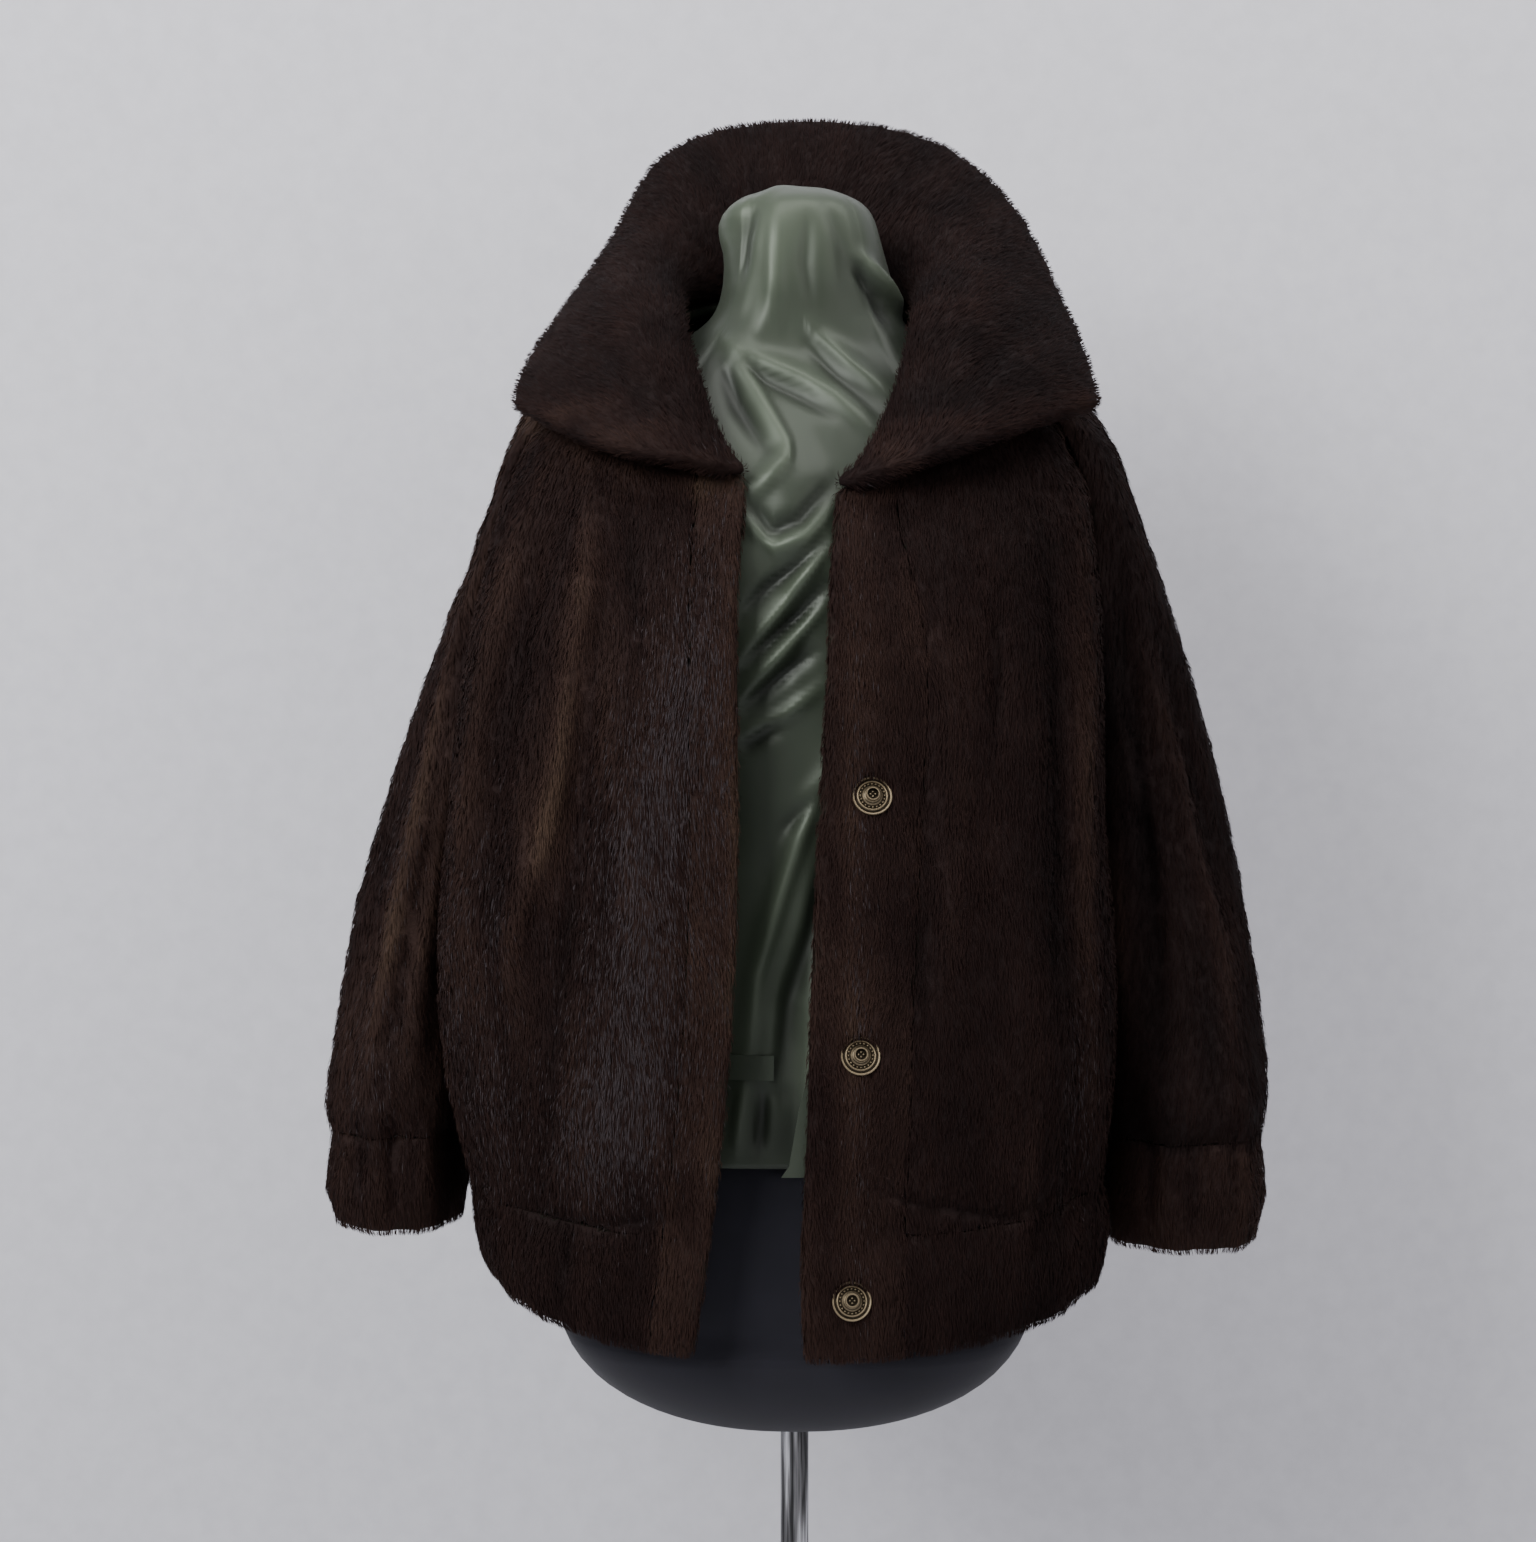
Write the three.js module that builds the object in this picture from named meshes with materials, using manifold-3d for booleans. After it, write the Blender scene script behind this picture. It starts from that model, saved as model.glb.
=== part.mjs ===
// A fur jacket worn open on a limbless dress form, with the form's pole and base.
// Millimetres, +Z up. The front faces -Y, so someone in front of it sees +X on their right.
// Right and left in the names are the wearer's, so the right front lies at -X.
// The origin is the middle of the base's underside, on the floor.
// Every fur piece is a wall as thick as its skin and pile, and reaches as far as the fur does.
import * as THREE from "three";
import { mergeVertices } from "three/addons/utils/BufferGeometryUtils.js";
import Module from "manifold-3d";

const wasm = await Module();
wasm.setup();

// Driving dimensions
const SEAM_GAP = 0.45;
const REST_GAP = 0.35;
const FUR_WALL = 10;
const COLLAR_WALL = 14;
const SATIN_WALL = 1.2;
const INNER_FOLD_SHARE = 0.6;
const HEM_BAND_TOP = 0.1;
const SIDE_SEAM = THREE.MathUtils.degToRad(99);
const RIGHT_BAND_WIDTH = 32;
const LEFT_BAND_WIDTH = 68;
const LEFT_BAND_NECK_WIDTH = 40;
const CUFF_TOP = 0.115;
const SNAP_RADIUS = 13;
const SNAP_RECESS = 4;
const SNAP_TILT = THREE.MathUtils.degToRad(22);
const SNAP_FROM_EDGE = 34;
const SNAP_LEVELS = [0.515, 0.267, 0.053];
const SOCKET_FROM_EDGE = 16;
const TAIL_REACH = 15;
const TAIL_HIDDEN = 22;
const TAIL_LEVELS = [0.15, 0.16, 0.21, 0.24];
const POLE_RADIUS = 10.2;
const POLE_FOOT = 14;
const POLE_TOP = 700;
const BASE_RADIUS = 190;

const MATERIALS = {
  fur: { color: 0x1d120e, roughness: 0.62, metalness: 0 },
  satin: { color: 0x4a5544, roughness: 0.38, metalness: 0 },
  form: { color: 0x17171f, roughness: 0.85, metalness: 0 },
  snap: { color: 0x7d6c48, roughness: 0.4, metalness: 1 },
  chrome: { color: 0xb9bcc0, roughness: 0.15, metalness: 1 },
};

const table = (names, rows) =>
  rows.map((row) => Object.fromEntries(names.map((name, i) => [name, row[i]])));

// The jacket's body, one row for each ring from the hem up to the neckline.
// rightEdge and leftEdge are where the two front edges lie on that ring.
const BODY_RINGS = table(
  ["at", "left", "right", "front", "back", "widest", "zFront", "zSide", "zBack", "rightEdge", "leftEdge"],
  [
    [0.0, -214, 215, -152, 130, -30, 714, 752, 742, -69, 5],
    [0.05, -224, 220, -158, 137, -35, 754, 783, 777, -63, 2],
    [0.1, -225, 214, -155, 134, -38, 797, 815, 811, -57, 3],
    [0.2, -241, 220, -161, 142, -45, 872, 880, 878, -48, 6],
    [0.33, -248, 221, -161, 143, -50, 965, 967, 967, -41, 8.5],
    [0.47, -240, 212, -158, 141, -50, 1060, 1062, 1062, -38.5, 13],
    [0.61, -230, 211, -156, 137, -48, 1150, 1158, 1160, -39, 18],
    [0.74, -214, 207, -151, 132, -38, 1210, 1240, 1250, -39.5, 20],
    [0.86, -190, 192, -142, 120, -22, 1246, 1322, 1346, -37.5, 22],
    [0.94, -140, 142, -133, 98, -10, 1266, 1386, 1412, -35.5, 23.5],
    [1.0, -80, 83, -124, 66, -4, 1283, 1424, 1445, -34, 25],
  ],
).map((ring) => ({ ...ring, middle: 0, lean: 0, squareFront: 2.5, squareBack: 1.9 }));

// Sleeves with their cuffs, from the cuff's edge up to the cap, seen as rings.
const SLEEVE_COLUMNS = ["at", "z", "outer", "inner", "front", "back", "lean"];
const RIGHT_SLEEVE_RINGS = table(SLEEVE_COLUMNS, [
  [0.0, 770, -331, -244, -36, 68, 0],
  [0.05, 800, -339, -239, -42, 76, 0],
  [0.115, 838, -334, -242, -38, 76, 0],
  [0.16, 862, -339, -237, -42, 88, 0],
  [0.22, 900, -332, -234, -36, 98, 0],
  [0.36, 980, -320, -231, -26, 112, 0],
  [0.48, 1046, -303, -226, -22, 116, 0],
  [0.6, 1115, -281, -206, -26, 116, 2],
  [0.7, 1175, -262, -182, -34, 114, 8],
  [0.8, 1254, -234, -160, -44, 106, 18],
  [0.88, 1312, -218, -140, -48, 96, 30],
  [0.95, 1352, -206, -122, -40, 82, 30],
  [1.0, 1370, -192, -122, -16, 58, 16],
]);
const LEFT_SLEEVE_RINGS = table(SLEEVE_COLUMNS, [
  [0.0, 757, 334, 227, -40, 70, 0],
  [0.05, 792, 341, 221, -46, 78, 0],
  [0.115, 834, 337, 224, -42, 78, 0],
  [0.16, 862, 342, 219, -45, 90, 0],
  [0.22, 900, 340, 214, -38, 100, 0],
  [0.36, 980, 328, 208, -26, 114, 0],
  [0.48, 1046, 316, 202, -20, 118, 0],
  [0.6, 1115, 300, 190, -22, 118, 2],
  [0.7, 1175, 284, 172, -30, 116, 8],
  [0.8, 1254, 261, 154, -40, 108, 18],
  [0.88, 1312, 245, 136, -44, 98, 30],
  [0.95, 1354, 230, 122, -38, 84, 30],
  [1.0, 1372, 212, 124, -16, 60, 16],
]);
const UNDERARM = 1165;
const UNDERARM_SPREAD = 30;

// Folds of a ring surface: a soft ridge or trough that wanders from one bearing to another as it rises.
const FOLD_COLUMNS = ["from", "to", "lowBearing", "highBearing", "halfWidth", "height"];
const BODY_FOLDS = table(FOLD_COLUMNS, [
  [0.28, 0.92, 50, 37, 8, 9],
  [0.06, 0.8, 47, 31, 6, -9],
  [0.22, 0.92, 60, 50, 7, -8],
  [0.04, 0.7, 25, 19, 9, 5],
  [0.1, 0.5, 72, 66, 6, -5],
  [0.05, 0.55, 108, 100, 8, 6],
  [0.05, 0.75, 132, 128, 8, -8],
  [0.08, 0.8, 152, 150, 9, 7],
  [0.05, 0.7, 171, 172, 8, -7],
  [0.06, 0.75, 192, 190, 9, 7],
  [0.05, 0.8, 212, 211, 8, -8],
  [0.06, 0.7, 232, 235, 8, 6],
  [0.05, 0.55, 256, 262, 8, 5],
  [0.04, 0.45, 297, 303, 7, -7],
  [0.1, 0.7, 314, 318, 9, 5],
  [0.15, 0.85, 334, 332, 9, -4],
]);
const SLEEVE_FOLDS = table(FOLD_COLUMNS, [
  [0.13, 0.9, 32, 18, 14, -8],
  [0.13, 0.8, 2, -6, 16, 5],
  [0.13, 0.85, 75, 62, 15, 5],
  [0.13, 0.8, 118, 112, 14, -7],
  [0.13, 0.75, 165, 160, 16, 5],
  [0.13, 0.7, 212, 215, 14, -4],
]);

// Gathers stand up from a seam and die away: waves for each turn, over part of the ring or all of it.
const GATHER_COLUMNS = ["seam", "reach", "below", "fromBearing", "toBearing", "waves", "height"];
const BODY_GATHERS = table(GATHER_COLUMNS, [
  [HEM_BAND_TOP, 0.2, 0.4, 52, 128, 19, 4],
  [HEM_BAND_TOP, 0.2, 0.4, 128, 232, 18, 3.2],
  [HEM_BAND_TOP, 0.2, 0.4, 232, 312, 19, 4],
]);
const SLEEVE_GATHERS = table(GATHER_COLUMNS, [[CUFF_TOP, 0.16, 0.5, -40, 400, 7, 3.4]]);

// The dress form: rings from the hips up to the neck's cap, over a rounded bottom.
const FORM_RINGS = table(
  ["z", "halfWidth", "front", "back"],
  [
    [713, 174, -118, 96],
    [790, 174, -114, 95],
    [850, 168, -111, 93],
    [950, 148, -102, 86],
    [1030, 132, -95, 78],
    [1100, 136, -100, 78],
    [1180, 150, -115, 82],
    [1240, 157, -118, 86],
    [1296, 158, -104, 88],
    [1335, 150, -82, 84],
    [1365, 130, -62, 76],
    [1390, 92, -50, 64],
    [1412, 56, -47, 54],
    [1432, 48, -48, 48],
    [1465, 46, -47, 45],
    [1492, 42, -40, 38],
    [1502, 22, -20, 18],
  ],
);
const FORM_BOWL_DEPTH = 87;
const FORM_BOWL_STEPS = [20, 38, 54, 68, 80];
const FORM_CROWN = 1504.4;

// The satin lining worn over the form: how far it stands off the form at each height.
const SATIN_SLACK = table(
  ["z", "up", "left", "right", "front", "back"],
  [
    [836, 0, 4, 4, 12, 6],
    [900, 0, 5, 5, 13, 6],
    [980, 0, 6, 6, 16, 6],
    [1040, 0, 9, 9, 18, 7],
    [1110, 0, 8, 8, 15, 6],
    [1180, 0, 4, 4, 7, 4],
    [1240, 0, 3, 3, 5, 3],
    [1296, 1, 3, 3, 6, 2],
    [1335, 2, 3, 3, 6, 2],
    [1365, 2, 2, 2, 6, 2],
    [1390, 2, 2, 6, 5, 2],
    [1412, 2, 3, 18, 5, 2],
    [1432, 1, 2.5, 22, 4, 2],
    [1465, 1, 1.5, 14, 3, 2],
    [1492, 2, 1, 10, 2, 1],
    [1502, 2.2, 0.5, 3, 0.8, 0.5],
  ],
);
const SATIN_CROWN = FORM_CROWN + REST_GAP + SATIN_WALL;
// Creases that cross the satin's front: bearings fall from one side to the other as they sink.
const SATIN_FOLDS = table(FOLD_COLUMNS, [
  [0.62, 0.8, 16, -20, 6, 5],
  [0.54, 0.72, 14, -16, 5, -4],
  [0.5, 0.66, 16, -14, 5, 5],
  [0.42, 0.58, 12, -14, 5, -4],
  [0.05, 0.5, 4, -12, 6, 6],
  [0.02, 0.45, -14, -18, 5, -5],
  [0.78, 0.96, 24, 6, 8, 4],
]);

// The collar's outer edge and the roll between it and the neckline, from the right tip round the back.
const COLLAR_LINE = table(
  ["at", "x", "y", "z", "rollX", "rollY", "rollZ"],
  [
    [0.0, -193, -66, 1349, -106, -176, 1312],
    [0.07, -187, -32, 1377, -108, -160, 1350],
    [0.16, -164, 28, 1426, -106, -92, 1412],
    [0.27, -132, 84, 1484, -90, 2, 1476],
    [0.36, -104, 112, 1542, -70, 56, 1520],
    [0.43, -62, 120, 1568, -38, 78, 1532],
    [0.5, 8, 124, 1577, 2, 82, 1534],
    [0.57, 68, 120, 1572, 42, 78, 1532],
    [0.64, 121, 112, 1551, 76, 56, 1522],
    [0.73, 163, 84, 1504, 100, 2, 1480],
    [0.84, 190, 28, 1432, 116, -92, 1414],
    [0.93, 202, -32, 1380, 116, -160, 1350],
    [1.0, 205, -66, 1349, 104, -176, 1310],
  ],
);

// Reads a table between its rows, as one smooth curve through each column.
function rowAt(rows, at) {
  const last = rows.length - 2;
  const i = Math.min(last, Math.max(0, rows.findIndex((row) => row.at > at) - 1));
  const place = at >= rows[last + 1].at ? last : i;
  const [a, b] = [rows[place], rows[place + 1]];
  const before = rows[place - 1] ?? a;
  const after = rows[place + 2] ?? b;
  const span = b.at - a.at;
  const t = (at - a.at) / span;
  const made = {};
  for (const name of Object.keys(a)) {
    const slopeA = ((b[name] - before[name]) / (b.at - before.at)) * span;
    const slopeB = ((after[name] - a[name]) / (after.at - a.at)) * span;
    const startWeight = 2 * t ** 3 - 3 * t ** 2 + 1;
    const endWeight = 3 * t ** 2 - 2 * t ** 3;
    const startPull = t ** 3 - 2 * t ** 2 + t;
    const endPull = t ** 3 - t ** 2;
    made[name] = a[name] * startWeight + b[name] * endWeight + slopeA * startPull + slopeB * endPull;
  }
  return made;
}

const smooth = (low, high, value) => THREE.MathUtils.smoothstep(value, low, high);
const mix = THREE.MathUtils.lerp;
const degrees = THREE.MathUtils.radToDeg;

// Bearing 0 faces front, 90 degrees is the -X side and 180 the back.
const RISE_POWER = 1.6;
function ringPoint(ring, bearing) {
  const sine = Math.sin(bearing);
  const cosine = Math.cos(bearing);
  const facing = cosine > 0;
  const power = 2 / (facing ? ring.squareFront : ring.squareBack);
  const across = (sine > 0 ? ring.left : ring.right) - ring.middle;
  const along = (facing ? ring.front : ring.back) - ring.widest;
  const rise = (facing ? ring.zFront : ring.zBack) - ring.zSide;
  const sideways = Math.sign(sine) * Math.abs(sine) ** power;
  return new THREE.Vector3(
    ring.middle + across * Math.abs(sine) ** power,
    ring.widest + along * Math.abs(cosine) ** power,
    ring.zSide + rise * Math.abs(cosine) ** RISE_POWER + ring.lean * sideways,
  );
}

// How far folds and gathers lift the surface at a bearing and a level.
function foldHeight(folds, gathers, bearing, at) {
  const bearingDegrees = degrees(bearing);
  let height = 0;
  for (const fold of folds) {
    const t = (at - fold.from) / (fold.to - fold.from);
    if (t <= 0 || t >= 1) continue;
    const middle = mix(fold.lowBearing, fold.highBearing, t);
    const apart = ((bearingDegrees - middle + 540) % 360) - 180;
    const fade = Math.sin(Math.PI * t) ** 0.7;
    height += fold.height * fade * Math.exp(-((apart / fold.halfWidth) ** 2));
  }
  for (const gather of gathers) {
    const edge = 8;
    const inside =
      smooth(gather.fromBearing, gather.fromBearing + edge, bearingDegrees) *
      (1 - smooth(gather.toBearing - edge, gather.toBearing, bearingDegrees));
    const away = at - gather.seam;
    const fade = away > 0 ? Math.max(0, 1 - away / gather.reach) ** 1.5 : gather.below;
    height += gather.height * inside * fade * Math.sin(bearing * gather.waves);
  }
  return height;
}

// A surface through a table of rings, with its folds. Depth is measured inwards from the outer face.
function ringSurface(rows, folds = [], gathers = []) {
  const plain = (bearing, at) => ringPoint(rowAt(rows, at), bearing);
  const normal = (bearing, at) => {
    const step = 1e-3;
    const high = Math.min(at + step, rows[rows.length - 1].at);
    const low = Math.max(at - step, rows[0].at);
    const round = plain(bearing + step, at).sub(plain(bearing - step, at));
    const up = plain(bearing, high).sub(plain(bearing, low));
    return up.cross(round).normalize();
  };
  const point = (bearing, at, depth = 0) => {
    const share = depth > 0 ? INNER_FOLD_SHARE : 1;
    const lift = foldHeight(folds, gathers, bearing, at) * share - depth;
    return plain(bearing, at).addScaledVector(normal(bearing, at), lift);
  };
  return { rows, plain, normal, point };
}

// Builds a geometry from points and triangles, facing outwards.
function closedGeometry(points, triangles) {
  let volume = 0;
  for (const [a, b, c] of triangles) {
    volume += points[a].dot(new THREE.Vector3().crossVectors(points[b], points[c]));
  }
  const faces = volume < 0 ? triangles.map(([a, b, c]) => [a, c, b]) : triangles;
  const geometry = new THREE.BufferGeometry();
  const position = new Float32Array(points.flatMap((p) => [p.x, p.y, p.z]));
  geometry.setAttribute("position", new THREE.BufferAttribute(position, 3));
  geometry.setIndex(faces.flat());
  return geometry;
}

// A wall between an outer and an inner grid of points, closed round its rim.
// around: the columns meet again, as on a tube. crown: two points that close the top.
function wallGeometry(rows, columns, outerAt, innerAt, { around = false, crown = null } = {}) {
  const points = [];
  for (const at of [outerAt, innerAt]) {
    for (let r = 0; r < rows; r++) for (let c = 0; c < columns; c++) points.push(at(r, c));
  }
  const inner = rows * columns;
  const place = (r, c) => r * columns + (c % columns);
  const spans = around ? columns : columns - 1;
  const triangles = [];
  const quad = (a, b, c, d) => triangles.push([a, b, c], [a, c, d]);
  for (let c = 0; c < spans; c++) {
    for (let r = 0; r < rows - 1; r++) {
      const [a, b, e, d] = [place(r, c), place(r, c + 1), place(r + 1, c + 1), place(r + 1, c)];
      quad(a, b, e, d);
      quad(inner + a, inner + d, inner + e, inner + b);
    }
    quad(place(0, c + 1), place(0, c), inner + place(0, c), inner + place(0, c + 1));
    const [a, b] = [place(rows - 1, c), place(rows - 1, c + 1)];
    if (crown) {
      triangles.push([a, b, 2 * inner], [inner + b, inner + a, 2 * inner + 1]);
    } else {
      quad(a, b, inner + b, inner + a);
    }
  }
  if (crown) points.push(...crown);
  if (!around) {
    for (let r = 0; r < rows - 1; r++) {
      const [a, d] = [place(r, 0), place(r + 1, 0)];
      quad(a, d, inner + d, inner + a);
      const [b, e] = [place(r, columns - 1), place(r + 1, columns - 1)];
      quad(e, b, inner + b, inner + e);
    }
  }
  return closedGeometry(points, triangles);
}

// A solid filled out to a grid of rings, closed by one point below and one above.
function filledGeometry(rows, columns, at, foot, crown) {
  const points = [];
  for (let r = 0; r < rows; r++) for (let c = 0; c < columns; c++) points.push(at(r, c));
  const place = (r, c) => r * columns + (c % columns);
  const triangles = [];
  for (let c = 0; c < columns; c++) {
    for (let r = 0; r < rows - 1; r++) {
      triangles.push([place(r, c), place(r, c + 1), place(r + 1, c + 1)]);
      triangles.push([place(r, c), place(r + 1, c + 1), place(r + 1, c)]);
    }
    triangles.push([place(0, c + 1), place(0, c), rows * columns]);
    triangles.push([place(rows - 1, c), place(rows - 1, c + 1), rows * columns + 1]);
  }
  points.push(foot, crown);
  return closedGeometry(points, triangles);
}

// A geometry as a solid that can be cut, and back again with its stray crumbs left out.
function solidOf(geometry) {
  const bare = geometry.clone();
  for (const name of Object.keys(bare.attributes)) {
    if (name !== "position") bare.deleteAttribute(name);
  }
  const merged = mergeVertices(bare, 1e-3);
  const vertProperties = merged.attributes.position.array;
  const triVerts = new Uint32Array(merged.index.array);
  return new wasm.Manifold(new wasm.Mesh({ numProp: 3, vertProperties, triVerts }));
}

function geometryOf(solid) {
  const bodies = solid.decompose().sort((a, b) => b.volume() - a.volume());
  const mesh = bodies[0].getMesh();
  const geometry = new THREE.BufferGeometry();
  geometry.setAttribute("position", new THREE.BufferAttribute(new Float32Array(mesh.vertProperties), 3));
  geometry.setIndex(new THREE.BufferAttribute(new Uint32Array(mesh.triVerts), 1));
  return geometry;
}

const jacket = new THREE.Group();
function addMesh(name, geometry, look) {
  const shaded = geometry.clone();
  shaded.computeVertexNormals();
  const mesh = new THREE.Mesh(shaded, new THREE.MeshStandardMaterial(MATERIALS[look]));
  mesh.name = name;
  jacket.add(mesh);
  return mesh;
}

const steps = (from, to, count) => Array.from({ length: count }, (_, i) => mix(from, to, i / (count - 1)));
const full = 2 * Math.PI;

// The three ring surfaces that every fur piece is cut from
const body = ringSurface(BODY_RINGS, BODY_FOLDS, BODY_GATHERS);
const sleeveRing = ({ at, z, outer, inner, front, back, lean }) => ({
  at,
  lean: lean * Math.sign(outer),
  left: Math.min(outer, inner),
  right: Math.max(outer, inner),
  middle: (outer + inner) / 2,
  front,
  back,
  widest: (front + back) / 2,
  zFront: z,
  zSide: z,
  zBack: z,
  squareFront: 2.2,
  squareBack: 2.2,
});
const mirrorFolds = (folds) =>
  folds.map((fold) => ({ ...fold, lowBearing: -fold.lowBearing, highBearing: -fold.highBearing }));
const rightSleeve = ringSurface(RIGHT_SLEEVE_RINGS.map(sleeveRing), SLEEVE_FOLDS, SLEEVE_GATHERS);
const leftSleeve = ringSurface(LEFT_SLEEVE_RINGS.map(sleeveRing), mirrorFolds(SLEEVE_FOLDS), SLEEVE_GATHERS);

// The dress form, and the satin that hangs over it
const formRing = ({ z, halfWidth, front, back }) => ({
  lean: 0,
  left: -halfWidth,
  right: halfWidth,
  middle: 0,
  front,
  back,
  widest: (front + back) / 2,
  zFront: z,
  zSide: z,
  zBack: z,
  squareFront: 2.25,
  squareBack: 2.25,
});
const formRings = FORM_RINGS.map(formRing);
const bowlRings = FORM_BOWL_STEPS.map((step) => {
  const lean = THREE.MathUtils.degToRad(step);
  const hips = FORM_RINGS[0];
  const share = Math.cos(lean);
  const middle = (hips.front + hips.back) / 2;
  return formRing({
    z: hips.z - FORM_BOWL_DEPTH * Math.sin(lean),
    halfWidth: hips.halfWidth * share,
    front: mix(middle, hips.front, share),
    back: mix(middle, hips.back, share),
  });
}).reverse();
const spreadLevels = (rings) => {
  const [low, high] = [rings[0].zSide, rings[rings.length - 1].zSide];
  return rings.map((ring) => ({ ...ring, at: (ring.zSide - low) / (high - low) }));
};
// Columns lie close together in front, where the satin shows, and further apart behind.
const SATIN_BEARINGS = [-70, -50, -36, -27, -20, -14, -8, -2, 4, 10, 16, 22, 29, 38, 52, 70]
  .concat([90, 115, 140, 165, 195, 220, 245, 270])
  .map(THREE.MathUtils.degToRad);
const allFormRings = [...bowlRings, ...formRings];
const formBottom = new THREE.Vector3(0, -3, FORM_RINGS[0].z - FORM_BOWL_DEPTH);
const formSolid = solidOf(
  filledGeometry(
    allFormRings.length,
    SATIN_BEARINGS.length,
    (r, c) => ringPoint(allFormRings[r], SATIN_BEARINGS[c]),
    formBottom,
    new THREE.Vector3(0, -1, FORM_CROWN),
  ),
);
const poleHole = new THREE.CylinderGeometry(POLE_RADIUS + REST_GAP, POLE_RADIUS + REST_GAP, 200, 24)
  .rotateX(Math.PI / 2)
  .translate(0, 0, POLE_TOP + REST_GAP - 100);

// The form's ring at a height, read straight between its rows so that nothing sinks into the form.
function formRingAt(z) {
  const i = Math.max(1, FORM_RINGS.findIndex((ring) => ring.z >= z));
  const [a, b] = [FORM_RINGS[i - 1], FORM_RINGS[i]];
  const t = (z - a.z) / (b.z - a.z);
  return {
    z,
    halfWidth: mix(a.halfWidth, b.halfWidth, t),
    front: mix(a.front, b.front, t),
    back: mix(a.back, b.back, t),
  };
}
const satinRings = spreadLevels(
  SATIN_SLACK.map((slack) => {
    const ring = formRing(formRingAt(slack.z));
    const z = slack.z + slack.up;
    return {
      ...ring,
      zFront: z,
      zSide: z,
      zBack: z,
      left: ring.left - slack.left - SATIN_WALL,
      right: ring.right + slack.right + SATIN_WALL,
      front: ring.front - slack.front - SATIN_WALL,
      back: ring.back + slack.back + SATIN_WALL,
    };
  }),
);
const satin = ringSurface(satinRings, SATIN_FOLDS);
const satinCrown = new THREE.Vector3(0, -1, SATIN_CROWN);
const SATIN_LEVELS = satinRings
  .map((ring) => ring.at)
  .flatMap((at, i, all) => (i > 0 && at - all[i - 1] > 0.1 ? [(at + all[i - 1]) / 2, at] : [at]));
// The tab is made from the satin's own columns and levels, moved out.
const TAB_BEARINGS = [4, 10, 16].map(THREE.MathUtils.degToRad);
const TAB_LEVELS = [0.09, 0.115];
SATIN_LEVELS.push(...TAB_LEVELS);
SATIN_LEVELS.sort((a, b) => a - b);
const satinPoint = (depth) => (r, c) => satin.point(SATIN_BEARINGS[c], SATIN_LEVELS[r], depth);
const satinGeometry = wallGeometry(
  SATIN_LEVELS.length,
  SATIN_BEARINGS.length,
  satinPoint(0),
  satinPoint(SATIN_WALL),
  { around: true, crown: [satinCrown, satinCrown.clone().setZ(SATIN_CROWN - SATIN_WALL)] },
);
const satinFilled = solidOf(
  filledGeometry(
    SATIN_LEVELS.length,
    SATIN_BEARINGS.length,
    satinPoint(-REST_GAP),
    new THREE.Vector3(0, 0, satinRings[0].zSide),
    satinCrown.clone().setZ(SATIN_CROWN + REST_GAP),
  ),
);

// Where the body's side lies, for a sleeve that hangs against it
function bodySide(side, y, z) {
  const last = BODY_RINGS.length - 2;
  const i = Math.min(last, Math.max(0, BODY_RINGS.findIndex((ring) => ring.zSide > z) - 1));
  const [low, high] = [BODY_RINGS[i], BODY_RINGS[i + 1]];
  const t = THREE.MathUtils.clamp((z - low.zSide) / (high.zSide - low.zSide), 0, 1);
  const ring = rowAt(BODY_RINGS, mix(low.at, high.at, t));
  const inFront = y < ring.widest;
  const power = inFront ? ring.squareFront : ring.squareBack;
  const share = Math.min(1, Math.abs((y - ring.widest) / ((inFront ? ring.front : ring.back) - ring.widest)));
  return Math.abs(ring[side]) * (1 - share ** power) ** (1 / power);
}

// Sleeves and cuffs. Below the underarm a sleeve is pressed flat where it meets the body.
const SLEEVE_COLUMN_COUNT = 28;
const SLEEVE_LEVELS = [0.15, 0.2, 0.28, 0.38, 0.49, 0.6, 0.7, 0.79, 0.87, 0.94, 1];
const sleevePoint = (surface, levels, depth) => (r, c) => {
  const point = surface.point((full * c) / SLEEVE_COLUMN_COUNT, levels[r], depth);
  const side = point.x < 0 ? "left" : "right";
  const limit = bodySide(side, point.y, point.z) + REST_GAP + Math.max(0, depth);
  const free = smooth(UNDERARM - UNDERARM_SPREAD, UNDERARM + UNDERARM_SPREAD, point.z);
  const out = Math.max(limit, Math.abs(point.x));
  point.x = Math.sign(point.x) * mix(out, Math.abs(point.x), free);
  return point;
};
function sleeveCrown(surface, depth) {
  const ring = surface.rows[surface.rows.length - 1];
  return new THREE.Vector3(ring.middle, ring.widest, ring.zSide + 6 - depth);
}
const levelShift = (surface, bearing, at, gap) => {
  const step = 1e-3;
  return (gap * step) / surface.plain(bearing, at + step).distanceTo(surface.plain(bearing, at));
};
function cuffGeometry(surface) {
  const levels = [0, 0.05, CUFF_TOP - levelShift(surface, 0, CUFF_TOP, SEAM_GAP / 2)];
  const outerAt = sleevePoint(surface, levels, 0);
  const innerAt = sleevePoint(surface, levels, FUR_WALL);
  return wallGeometry(levels.length, SLEEVE_COLUMN_COUNT, outerAt, innerAt, { around: true });
}
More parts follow.
